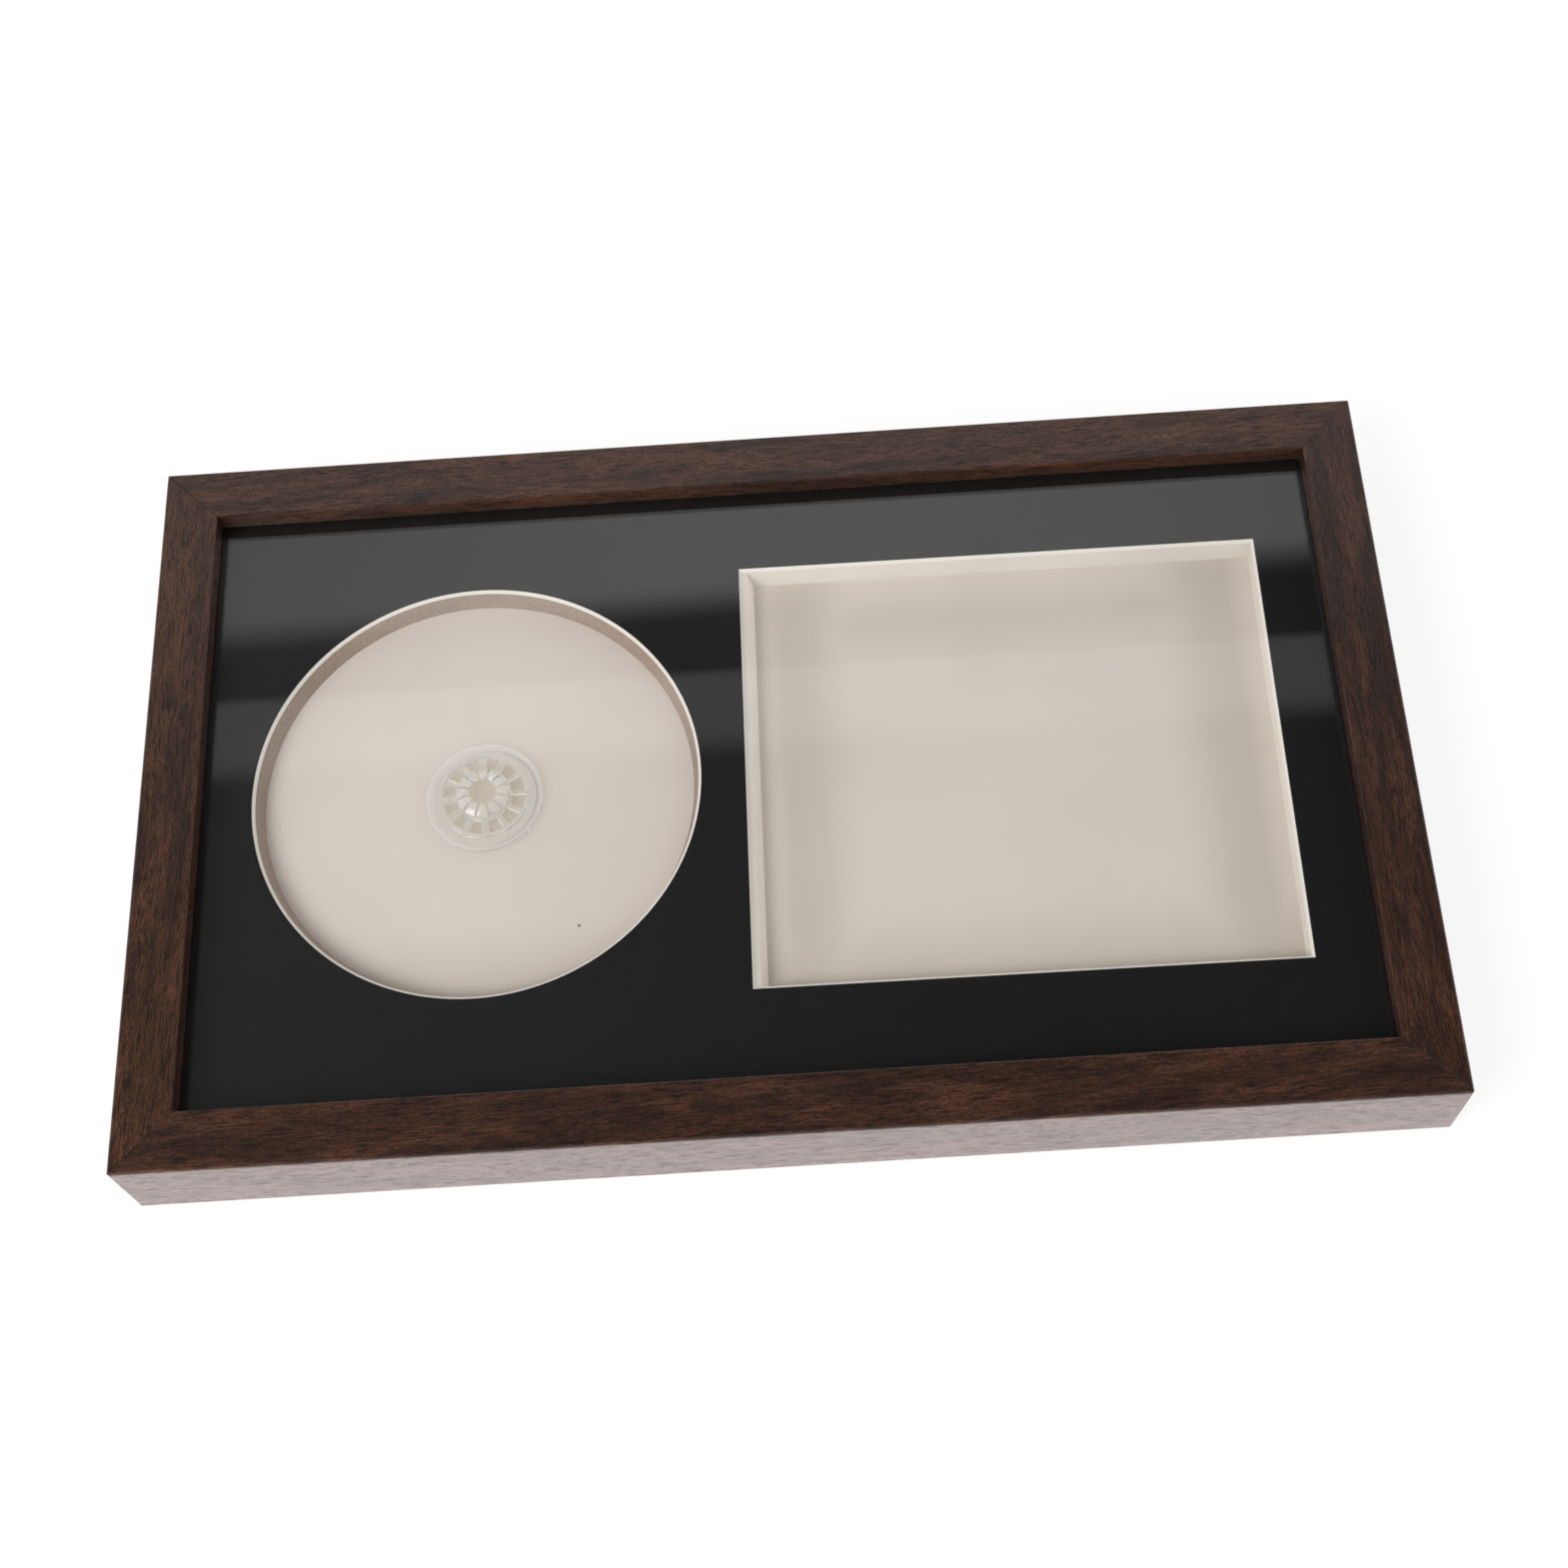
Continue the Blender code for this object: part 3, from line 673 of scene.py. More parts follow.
@dataclass(frozen=True)
class WalnutFoil(Finish):
    """Dark walnut moulding under a satin lacquer, its grain along the rail."""

    dark: Colour = (34, 22, 17)
    warm: Colour = (85, 53, 40)
    turn: float = 0.0
    offset: float = 0.0
    pore_depth: float = 0.03 * MM
    pore_roughness: float = 0.25
    gloss: float = 0.2
    coat: Spot = (0.455, 0.555)
    coat_roughness: float = 0.18
    coat_ior: float = 1.55

    def work(self, graph: Graph, shader: bpy.types.Node) -> Socket:
        """Run the figure along the rail and let the pores break the lacquer.

        Args:
            graph: the material's graph.
            shader: its Principled shader.

        Returns:
            What feeds the material output.
        """
        place = {"Rotation": (0, 0, self.turn), "Location": (self.offset, self.offset, 0)}
        where = graph.add("Mapping", {"Vector": graph.own_place(), **place}).outputs[0]
        tones = {"Dark": seen(self.dark), "Middle": seen(self.colour), "Warm": seen(self.warm)}
        figure = Effect.WOOD_FIGURE.use(graph, {"Vector": where, **tones})
        rough = self.roughness + self.pore_roughness
        graph.feed(shader, {
            "Base Color": figure["Color"],
            "Roughness": graph.fade(figure["Pores"], 0.0, 1.0, self.roughness, rough),
            "Normal": graph.bump(figure["Height"], self.pore_depth, 0.6),
            "Specular IOR Level": self.gloss,
            "Coat Weight": graph.fade(figure["Height"], 0.08, 0.26, *self.coat),
            "Coat Roughness": self.coat_roughness,
            "Coat IOR": self.coat_ior,
        })
        return shader.outputs[0]


@dataclass(frozen=True)
class Card(Finish):
    """Paper, card, foam or fibreboard with its tooth, slow changes of tone and rare specks."""

    grain: float = 5000.0
    depth: float = 0.03 * MM
    tone_change: float = 0.05
    fleck_change: float = 0.0
    speck: Colour | None = None
    speck_cells: float = 55.0
    speck_rarity: float = 0.9
    gloss: float = 0.3

    def work(self, graph: Graph, shader: bpy.types.Node) -> Socket:
        """Vary the tone, raise the tooth and add the specks.

        Args:
            graph: the material's graph.
            shader: its Principled shader.

        Returns:
            What feeds the material output.
        """
        where = graph.own_place()
        tooth = Effect.TOOTH.use(graph, {"Vector": where, "Grain": self.grain})
        tone, fleck = (
            graph.fade(tooth[name], start, 1 - start, 1 - change, 1 + change)
            for name, start, change in (("Tone", 0.3, self.tone_change), ("Fleck", 0.35, self.fleck_change))
        )
        shade = graph.maths("MULTIPLY", tone, fleck)
        colour = self.tint(graph, where, graph.mix(1.0, seen(self.colour), shade, "MULTIPLY"))
        if self.speck:
            spread = {"Cells": self.speck_cells, "Rarity": self.speck_rarity}
            lint = Effect.LINT.use(graph, {"Vector": where, **spread})
            colour = graph.mix(lint["Mask"], colour, seen(self.speck))
        normal = graph.bump(tooth["Height"], self.depth)
        graph.feed(shader, {"Base Color": colour, "Normal": normal, "Specular IOR Level": self.gloss})
        return shader.outputs[0]

    def tint(self, graph: Graph, where: Socket, colour: Socket) -> Socket:
        """Return the colour as it is; a card that changes from place to place has its own way."""
        return colour


@dataclass(frozen=True)
class RecessFloorWithPaintedShade(Card):
    """Card darkened along the walls of a rectangular recess: painted shade where the walls' shadow falls."""

    # Colour multiplied in near the walls as painted shade.
    painted_shade: Colour = (236, 235, 231)
    middle: Spot = (69.0 * MM, 0.65 * MM)
    half: Spot = (72.6 * MM, 62.6 * MM)
    rise: Spot = (1 * MM, 9 * MM)
    far_rise: Spot = (5 * MM, 15 * MM)
    fall: Spot = (12 * MM, 32 * MM)
    far_share: float = 0.6
    near_fall: Spot = (2 * MM, 26 * MM)
    near_share: float = 0.8

    def tint(self, graph: Graph, where: Socket, colour: Socket) -> Socket:
        """Darken the colour with painted shade by the distance from the walls at the sides, the far one and
        the near one.

        Args:
            graph: the material's graph.
            where: the coordinates.
            colour: the plain colour.

        Returns:
            The colour with its painted shade.
        """
        place = graph.add("SeparateXYZ", {0: where}).outputs
        side = graph.maths("ABSOLUTE", graph.maths("SUBTRACT", place["X"], self.middle[0]))
        side = graph.maths("SUBTRACT", self.half[0], side)
        far = graph.maths("SUBTRACT", self.middle[1] + self.half[1], place["Y"])
        near = graph.maths("SUBTRACT", place["Y"], self.middle[1] - self.half[1])
        inside = graph.fade(side, *self.rise)
        across = graph.maths("MULTIPLY", self.line(graph, far, self.far_rise, self.far_share), inside)
        share = graph.maths("MAXIMUM", self.line(graph, side, self.rise, 1.0), across)
        share = graph.maths("MAXIMUM", share, graph.fade(near, *self.near_fall, self.near_share, 0.0))
        # Mix in the painted shade by its share.
        return graph.mix(share, colour, graph.mix(1.0, colour, seen(self.painted_shade), "MULTIPLY"))

    def line(self, graph: Graph, distance: Socket, rise: Spot, share: float) -> Socket:
        """Soft line of painted shade at a distance from a wall."""
        near = graph.fade(distance, *rise, 0.0, share)
        return graph.maths("MULTIPLY", near, graph.fade(distance, *self.fall, 1.0, 0.0))


@dataclass(frozen=True)
class Clear(Finish):
    """Clear plastic that lets lamps through to what is behind it."""

    ior: float = 1.49
    ripple: float = 0.0
    clarity: float = 1.0
    shade: Colour = (255, 255, 255)
    smear: Triple = (60, 25, 60)
    smear_span: Spot = (0.45, 0.75)
    smear_roughness: float = 0.02
    swell: Triple = (500, 500, 500)

    def work(self, graph: Graph, shader: bpy.types.Node) -> Socket:
        """Make the plastic clear, with faint smears and, on a moulded piece, a slow ripple.

        Args:
            graph: the material's graph.
            shader: its Principled shader.

        Returns:
            What feeds the material output.
        """
        where = graph.own_place()
        smears = graph.noise(where, self.smear, 4.0, 0.6)
        rough = graph.fade(smears, *self.smear_span, self.roughness, self.roughness + self.smear_roughness)
        graph.feed(shader, {"Transmission Weight": self.clarity, "IOR": self.ior, "Roughness": rough})
        if self.ripple:
            graph.feed(shader, {"Normal": graph.bump(graph.noise(where, self.swell, 1.0), self.ripple)})
        rays = graph.add("LightPath").outputs
        passing = graph.maths("MAXIMUM", rays["Is Shadow Ray"], rays["Is Diffuse Ray"])
        open_air = graph.add("BsdfTransparent", {"Color": seen(self.shade)}).outputs[0]
        return graph.add("MixShader", {0: passing, 1: shader.outputs[0], 2: open_air}).outputs[0]


@dataclass(frozen=True)
class Metal(Finish):
    """Plated steel with fine drawn lines and rubbed patches."""

    grain: float = 900.0
    depth: float = 0.01 * MM
    dull_colour: Colour = (136, 140, 137)
    dull_roughness: float = 0.16

    def work(self, graph: Graph, shader: bpy.types.Node) -> Socket:
        """Rub the plating duller in patches and raise its drawn lines.

        Args:
            graph: the material's graph.
            shader: its Principled shader.

        Returns:
            What feeds the material output.
        """
        rub = Effect.RUB.use(graph, {"Vector": graph.own_place(), "Grain": self.grain})
        rough = self.roughness + self.dull_roughness
        graph.feed(shader, {
            "Metallic": 1.0,
            "Base Color": graph.mix(rub["Dull"], seen(self.colour), seen(self.dull_colour)),
            "Roughness": graph.fade(rub["Dull"], 0.0, 1.0, self.roughness, rough),
            "Normal": graph.bump(rub["Height"], self.depth, 0.5),
        })
        return shader.outputs[0]


class Finishes:
    """The finishes of the frame, by the piece that wears them."""

    RAIL_BOTTOM = WalnutFoil("walnut_bottom_rail", (61, 37, 26), 0.36, turn=-0.05)
    RAIL_TOP = WalnutFoil("walnut_top_rail", (71, 46, 34), 0.36, turn=-0.03, offset=0.37)
    RAIL_LEFT = WalnutFoil("walnut_left_rail", (68, 43, 29), 0.36, turn=QUARTER + 0.03, offset=0.71)
    RAIL_RIGHT = WalnutFoil("walnut_right_rail", (61, 37, 25), 0.36, turn=QUARTER - 0.02, offset=1.13)
    GLAZING = Clear("glazing_acrylic", (255, 255, 255), 0.0)
    MAT_FACE = Card(
        "mat_black_paper", (22, 21, 21), 0.85, grain=6500.0, depth=0.004 * MM, tone_change=0.06, gloss=0.12
    )
    MAT_CORE = Card("mat_white_core", (228, 223, 214), 0.85, grain=6000.0, tone_change=0.03)
    # Cut foam, made darker as painted shade, on the disc's walls that don't face right.
    FOAM_CUT_PAINTED_SHADE = Card(
        "spacer_cut_foam_painted_shade", (160, 143, 131), 0.9, grain=3500.0, depth=0.12 * MM, tone_change=0.08,
        fleck_change=0.08,
    )
    # Lighter copy of the spacer paper for the cover's left wall: painted light.
    SPACER_PAPER_PAINTED_LIGHT = Card("spacer_paper_painted_light", (248, 241, 233), 0.85, grain=5200.0)
    SPACER_PAPER = Card("spacer_paper", (215, 208, 198), 0.85, grain=5200.0)
    # The backing darkens near the rectangular recess's walls: painted shade.
    BACKING = RecessFloorWithPaintedShade(
        "backing_cream_paper", (219, 209, 200), 0.88, grain=5200.0, tone_change=0.02, speck=(120, 104, 88)
    )
    FIBREBOARD = Card(
        "fibreboard_back", (138, 110, 82), 0.62, grain=2600.0, depth=0.05 * MM, tone_change=0.06,
        fleck_change=0.16,
    )
    TAPE = Card("double_sided_tape", (208, 198, 186), 0.8, grain=4000.0, depth=0.04 * MM)
    HUB = Clear(
        "hub_clear_plastic", (255, 255, 254), 0.03, ior=1.5, ripple=0.005 * MM, clarity=0.82,
        shade=(246, 245, 242),
    )
    CLIP = Metal("clip_zinc", (192, 200, 203), 0.30)
    RIVET = Metal("rivet_zinc", (187, 194, 197), 0.26)
    HANGER = Metal("hanger_nickel", (202, 204, 196), 0.20, dull_colour=(156, 158, 150))
    NAIL = Metal("bare_nail_steel", (150, 152, 156), 0.38)


@dataclass
class Layout:
    """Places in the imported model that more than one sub-assembly reads."""

    low: Vector = field(default_factory=lambda: Vector(CAD_BOUNDS[0]))
    high: Vector = field(default_factory=lambda: Vector(CAD_BOUNDS[1]))
    disc_radius: float = 63 * MM
    cover_length: float = 149.8 * MM
    cover_height: float = 129.8 * MM
    cover_margin: float = 17.2 * MM
    cover_drop: float = 0.65 * MM
    cover_turn: float = math.radians(-0.3)
    disc_margin: float = 13.6 * MM
    sill: float = 91.8 * MM

    def levels(self, node: str) -> Spot:
        """Lower and upper height of a node."""
        low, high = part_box(node)
        return low.z, high.z

    def middle(self, node: str) -> Spot:
        """Centre of a node, seen from above."""
        low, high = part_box(node)
        return (low.x + high.x) / 2, (low.y + high.y) / 2

    def disc_centre(self) -> Spot:
        """Centre of the round window, inwards from the left rail's lip and level with the other window."""
        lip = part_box("rail_left")[1].x
        return lip + self.disc_margin + self.disc_radius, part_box("rail_bottom")[1].y + self.sill

    def cover_centre(self) -> Spot:
        """Centre of the rectangular window, inwards from the right rail's lip."""
        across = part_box("rail_right")[0].x - self.cover_margin - self.cover_length / 2
        return across, self.disc_centre()[1] - self.cover_drop

    def pivot(self, joint: str) -> Vector:
        """Point on a joint's axis."""
        return Vector(next(j["pos_m"] for j in frame["joints"] if j["name"] == joint))


@dataclass
class Moulding:
    """Four mitred rails of one section, each with its rabbet, clip groove and nail pockets."""

    layout: Layout
    wall: float = 11 * MM
    lip_depth: float = 6 * MM
    groove_depth: float = 4.5 * MM
    groove_clearance: float = 0.3 * MM
    face_edge: float = 1.0 * MM
    lip_edge: float = 0.35 * MM
    back_edge: float = 0.6 * MM
    tip_radius: float = 1.1 * MM
    mitre_gap: float = 0.03 * MM
    mitre_edge: float = 0.13 * MM
    nail_sheet: float = 0.6 * MM
    nail_clearance: float = 0.2 * MM
    tip_angles: tuple[float, ...] = (22.5, 45.0)

    def build(self) -> None:
        """Model a long and a short rail, copy each and set all four in place."""
        low, high = self.layout.low, self.layout.high
        long_rail = self.rail("long_rail", high.x - low.x)
        short_rail = self.rail("short_rail", high.y - low.y)
        for side, pattern, place, turn, finish in (
            ("bottom", long_rail, (0, low.y, 0), 0.0, Finishes.RAIL_BOTTOM),
            ("right", short_rail, (high.x, 0, 0), QUARTER, Finishes.RAIL_RIGHT),
            ("top", long_rail, (0, high.y, 0), 2 * QUARTER, Finishes.RAIL_TOP),
            ("left", short_rail, (low.x, 0, 0), -QUARTER, Finishes.RAIL_LEFT),
        ):
            rail = twin(pattern, f"walnut_rail_{side}", place, turn)
            hand_over(rail, [finish], "frame", "walnut", f"rail_{side}")
        for pattern in (long_rail, short_rail):
            drop(pattern)

    def rail(self, name: str, run: float) -> Piece:
        """Model one rail along X, its outer side on Y 0 and its rabbet towards +Y.

        Args:
            name: the object's name.
            run: its length along the outer side.

        Returns:
            The rail.
        """
        depth = self.layout.high.z
        face_low, face_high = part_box("rail_bottom")
        face_width = face_high.y - face_low.y
        ledge = depth - self.lip_depth
        groove_low, groove_high = self.layout.levels("clip_left")
        groove_low -= self.groove_clearance
        groove_high += self.groove_clearance
        half = run / 2
        rail = block(name, (-half, 0, 0), (half, self.wall, depth))
        with editing(rail, "FACE"):
            for height in (groove_low, groove_high, ledge):
                bisect((0, 0, height), (0, 0, 1))
            for bottom, top, step in (
                (ledge, depth, face_width - self.wall), (groove_low, groove_high, -self.groove_depth)
            ):
                pick(rail, lambda at, to: to.y > UPWARD and bottom < at.z < top)
                extrude((0, step, 0))
        with editing(rail, "EDGE"):
            for y, z, width, steps in (
                (0, depth, self.face_edge, 6),
                (face_width, depth, self.lip_edge, 5),
                (face_width, ledge, self.lip_edge / 2, 2),
                (0, 0, self.back_edge, 3),
            ):
                ease(
                    rail, lambda a, b: all(abs(p.y - y) < SMALL and abs(p.z - z) < SMALL for p in (a, b)),
                    width, steps,
                )
        self.mitre(rail, half, depth)
        for along in (True, False):
            combine(rail, self.nail_pockets(half, along))
        return rail

    def mitre(self, rail: Piece, half: float, depth: float) -> None:
        """Cut both ends to 45 degrees, sand the outer corner round and ease the joint's edge.

        Args:
            rail: the rail.
            half: half its length along its outer side.
            depth: its height from back to face.
        """
        reach = half - self.mitre_gap
        with editing(rail, "FACE"):
            for end in (-1, 1):
                bisect((end * reach, 0, 0), (end, 1, 0), clear=True)
                middle = Vector((end * (half - self.tip_radius), self.tip_radius, 0))
                for degrees in self.tip_angles:
                    angle = math.radians(degrees)
                    normal = Vector((end * math.sin(angle), -math.cos(angle), 0))
                    bisect(middle + normal * self.tip_radius, normal, clear=True)

        def at_joint(point: Vector) -> bool:
            """Test for a point of the face on either mitre."""
            return abs(abs(point.x) + point.y - reach) < SMALL and point.z > depth - SMALL

        with editing(rail, "EDGE"):
            ease(rail, lambda a, b: at_joint(a) and at_joint(b), self.mitre_edge, 1)

    def nail_pockets(self, half: float, along: bool) -> list[Piece]:
        """Cutters for the slots that one leg of the corner nails is driven into, at both ends of a rail.

        Args:
            half: half the rail's length along its outer side.
            along: whether it is the leg along the rail or the one across it.

        Returns:
            One cutter for each end.
        """
        nail_low, nail_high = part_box("corner_nail_bottom_left")
        inset = nail_low.x - self.layout.low.x
        leg = nail_high.x - nail_low.x
        room = self.nail_clearance
        long, wide = (leg, self.nail_sheet) if along else (self.nail_sheet, leg)
        cutters = []
        for end in (-1, 1):
            left, right = sorted((end * (half - inset + room), end * (half - inset - long - room)))
            low = (left, inset - room, -OVERRUN)
            cutters.append(block("nail_slot", low, (right, inset + wide + room, nail_high.z + room)))
        return cutters


class WindowShape(Enum):
    """Outline of a window."""

    ROUND = "round"
    SQUARE = "square"


@dataclass(frozen=True)
class Window:
    """A window that runs through the mat and the spacer."""

    shape: WindowShape
    centre: Spot
    half: Spot
    turn: float = 0.0
    sides: int = 192

    def cutter(self, levels: Spot, insets: Spot, shift: float = 0.0) -> Piece:
        """Tapered block that cuts this window through a sheet and past both its faces.

        Args:
            levels: back and front height of the sheet.
            insets: how far inside this window's outline the cut lies at those heights.
            shift: how far the cut lies to the right of the window.

        Returns:
            The cutter.
        """
        back, front = levels
        slope = (insets[1] - insets[0]) / (front - back)
        back_inset = insets[0] - slope * OVERRUN
        front_inset = insets[1] + slope * OVERRUN
        heights = (back - OVERRUN, front + OVERRUN)
        x, y = self.centre[0] + shift, self.centre[1]
        wide = [side - back_inset for side in self.half]
        narrow = [side - front_inset for side in self.half]
        if self.shape is WindowShape.ROUND:
            return drum("window_cutter", (x, y), heights, (wide[0], narrow[0]), self.sides)
        cutter = block("window_cutter", (-wide[0], -wide[1], heights[0]), (*wide, heights[1]))
        with editing(cutter, "FACE"):
            pick(cutter, lambda _, to: to.z > UPWARD)
            bpy.ops.transform.resize(
                value=(narrow[0] / wide[0], narrow[1] / wide[1], 1), center_override=(0, 0, heights[1])
            )
        cutter.location, cutter.rotation_euler.z = (x, y, 0), self.turn
        return settle(cutter.name)


@dataclass
class Sheets:
    """The glazing, the window mat, the spacer and the backing board, from the front."""

    layout: Layout
    glazing_edge: float = 0.25 * MM
    board_edge: float = 0.15 * MM
    mat_bevel: float = 0.8 * MM
    floor_inset: float = 2.5 * MM
    seam: float = 0.28 * MM
    cover_shift: float = 1.4 * MM
    # Limits on a wall's normal X: walls facing right take paper, and the cover's walls facing left a lighter
    # copy, as painted light.
    right_wall_painted_light: float = -0.97
    left_wall_painted_light: float = 0.5

    def build(self) -> None:
        """Model the four sheets."""
        self.glazing()
        self.mat()
        self.spacer()
        self.backing()

    def windows(self) -> tuple[Window, Window]:
        """Describe both windows.

        Returns:
            The round and the rectangular window.
        """
        layout = self.layout
        disc = Window(WindowShape.ROUND, layout.disc_centre(), (layout.disc_radius, layout.disc_radius))
        half = (layout.cover_length / 2, layout.cover_height / 2)
        return disc, Window(WindowShape.SQUARE, layout.cover_centre(), half, layout.cover_turn)

    def sheet(self, name: str, node: str, edge: float) -> Piece:
        """Model a plain sheet in a node's place, with eased edges.

        Args:
            name: the object's name.
            node: the node whose place it takes.
            edge: width of the eased edges.

        Returns:
            The sheet.
        """
        sheet = block(name, *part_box(node))
        with editing(sheet, "EDGE"):
            ease(sheet, lambda a, b: True, edge, 2)
        return sheet

    def glazing(self) -> None:
        """Clear sheet with polished, slightly broken edges."""
        glazing = self.sheet("glazing_sheet", "glazing", self.glazing_edge)
        hand_over(glazing, [Finishes.GLAZING], "frame", "glazing", "glazing")

    def mat(self) -> None:
        """Black mat whose bevelled windows show its white core."""
        levels = self.layout.levels("mat_board")
        mat = self.sheet("window_mat", "mat_board", self.board_edge)
        combine(mat, [window.cutter(levels, (self.mat_bevel, 0)) for window in self.windows()])
        hand_over(
            mat, [Finishes.MAT_FACE, Finishes.MAT_CORE], "frame", "mat_black", "mat_board",
            choose=lambda at, to: 0 if to.z > UPWARD and at.z > levels[1] - SMALL else 1,
        )

    def spacer(self) -> None:
        """Foam board whose cut edges are the walls of both recesses."""
        low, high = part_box("spacer_board")
        levels = (low.z - self.seam, high.z + self.seam)
        spacer = block("foam_spacer", (low.x, low.y, levels[0]), (high.x, high.y, levels[1]))
        disc, cover = self.windows()
        insets = (self.floor_inset, self.mat_bevel)
        combine(spacer, [disc.cutter(levels, insets), cover.cutter(levels, insets, self.cover_shift)])
        middle = (disc.centre[0] + disc.half[0] + cover.centre[0] - cover.half[0]) / 2

        def choose(at: Vector, to: Vector) -> int:
            """Paper on the faces and, as painted light, on the right walls; cut foam darkened as painted
            shade round the rest of the disc; and a lighter copy of the paper, painted light, on the cover's
            left wall.
            """
            papered = abs(to.z) > UPWARD or to.x < self.right_wall_painted_light
            return 0 if papered else 1 if at.x < middle else 2 if to.x > self.left_wall_painted_light else 0

        papers = [Finishes.SPACER_PAPER, Finishes.FOAM_CUT_PAINTED_SHADE, Finishes.SPACER_PAPER_PAINTED_LIGHT]
        hand_over(spacer, papers, "frame", "spacer_foam", "spacer_board", choose=choose)

    def backing(self) -> None:
        """Cream board that is the floor of both recesses."""
        backing = self.sheet("cream_backing", "backing_board", self.board_edge)
        hand_over(backing, [Finishes.BACKING], "back_unit", "backing_cream", "backing_board")


@dataclass
class Hub:
    """Clear hub that grips a disc by its hole: flange, raised ring, beaded spokes and a toothed crown."""

    layout: Layout
    flange_radius: float = 16.5 * MM
    deck: float = 1.0 * MM
    ring_radius: float = 12.8 * MM
    ring_wall: float = 0.9 * MM
    ring_rise: float = 0.9 * MM
    crown_radius: float = 7.35 * MM
    crown_bulge: float = 0.25 * MM
    crown_wall: float = 0.9 * MM
    mouth_radius: float = 3.8 * MM
    spokes: int = 12
    spoke_width: float = 1.0 * MM
    spoke_root: float = 0.45 * MM
    bead_rise: float = 0.45 * MM
    bead_width: float = 0.8 * MM
    bead_rounding: float = 0.8
    bead_steps: int = 4
    slot_width: float = 0.6 * MM
    slot_root: float = 0.4 * MM
    rounding: float = 0.16 * MM
    steps: int = 144
    gap_steps: int = 10
    sharp: float = 40.0
    centre: Spot = field(init=False)
    floor: float = field(init=False)
    top: float = field(init=False)

    def __post_init__(self) -> None:
        """Read the hub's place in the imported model."""
        self.centre = self.layout.middle("disc_hub")
        self.floor, self.top = self.layout.levels("disc_hub")

    def build(self) -> None:
        """Turn the hub, cut its openings, raise its beads, and dress the tape under it."""
        hub = lathe("clear_hub", self.profile(), self.centre, self.steps, self.rounding)
        combine(hub, [*self.gaps(), *self.slots()])
        combine(hub, self.beads(), "UNION")
        hand_over(hub, [Finishes.HUB], "back_unit", "hub_clear", "disc_hub", sharp=self.sharp)
        dress(frame["nodes"]["hub_pad"], [Finishes.TAPE])

    def profile(self) -> list[Spot]:
        """Draw the closed section of the hub, from the foot of its flange.

        Returns:
            Its points as radius and height.
        """
        floor, top = self.floor, self.top
        deck = floor + self.deck
        inner = self.ring_radius - self.ring_wall
        outer = self.crown_radius
        dome = (outer - self.mouth_radius) / 2
        shoulder = top - dome / 2
        wall = self.crown_wall
        return [
            (self.flange_radius, floor),
            (self.flange_radius, deck),
            (self.ring_radius, deck),
            (self.ring_radius, deck + self.ring_rise),
            (inner, deck + self.ring_rise),
            (inner, deck),
            (outer, deck),
            (outer, (shoulder + deck) / 2),
            (outer + self.crown_bulge, shoulder),
            (outer - dome / 2, top - self.crown_bulge),
            (outer - dome, top),
            (self.mouth_radius, top - self.crown_bulge),
            (self.mouth_radius, top - wall),
            (outer - dome, top - wall),
            (outer - wall, shoulder - wall / 2),
            (outer - wall, floor),
            (self.flange_radius, floor),
        ]

    def around(self, pattern: Piece, start: float) -> list[Piece]:
        """Copy a piece modelled at the origin to each spoke's pitch round the hub.

        Args:
            pattern: the piece, which is used up.
            start: angle of the first copy.

        Returns:
            The copies.
        """
        pitch = math.tau / self.spokes
        copies = [
            twin(pattern, f"{pattern.name}_{n}", (*self.centre, 0), start + n * pitch)
            for n in range(self.spokes)
        ]
        drop(pattern)
        return copies

    def gaps(self) -> list[Piece]:
        """Model cutters for the openings between the spokes, each a spun rectangle.

        Returns:
            One cutter for each opening.
        """
        inner = self.crown_radius + self.spoke_root
        outer = self.ring_radius - self.ring_wall - self.spoke_root
        middle = (inner + outer) / 2
        low, high = self.floor - OVERRUN, self.floor + self.deck + self.slot_root / 2
        half_spoke = math.asin(self.spoke_width / 2 / middle)
        corners = [(inner, 0, low), (outer, 0, low), (outer, 0, high), (inner, 0, high)]
        wedge = trace("gap", [*corners, corners[0]])
        with editing(wedge, "VERT"):
            weld()
            bpy.ops.mesh.edge_face_add()
            spin((0, 0), self.gap_steps, math.tau / self.spokes - 2 * half_spoke)
        return self.around(wedge, half_spoke)

    def slots(self) -> list[Piece]:
        """Model cutters for the slots that part the crown into fingers.

        Returns:
            One cutter for each slot.
        """
        half = self.slot_width / 2
        reach = self.crown_radius + self.crown_bulge + self.spoke_root / 2
        low = (self.mouth_radius / 2, -half, self.floor + self.deck + self.slot_root)
        slot = block("slot", low, (reach, half, self.top + OVERRUN))
        return self.around(slot, math.pi / self.spokes)

    def beads(self) -> list[Piece]:
        """Model the round-ended beads that stiffen the spokes.

        Returns:
            One bead for each spoke.
        """
        inner = self.crown_radius - self.crown_wall / 2
        outer = self.ring_radius - self.ring_wall / 2
        half = self.bead_width / 2
        deck = self.floor + self.deck
        bead = block("bead", (inner, -half, deck - self.deck / 4), (outer, half, deck + self.bead_rise))
        with editing(bead, "EDGE"):
            ease(bead, lambda a, b: min(a.z, b.z) > deck, half * self.bead_rounding, self.bead_steps)
        return self.around(bead, 0.0)


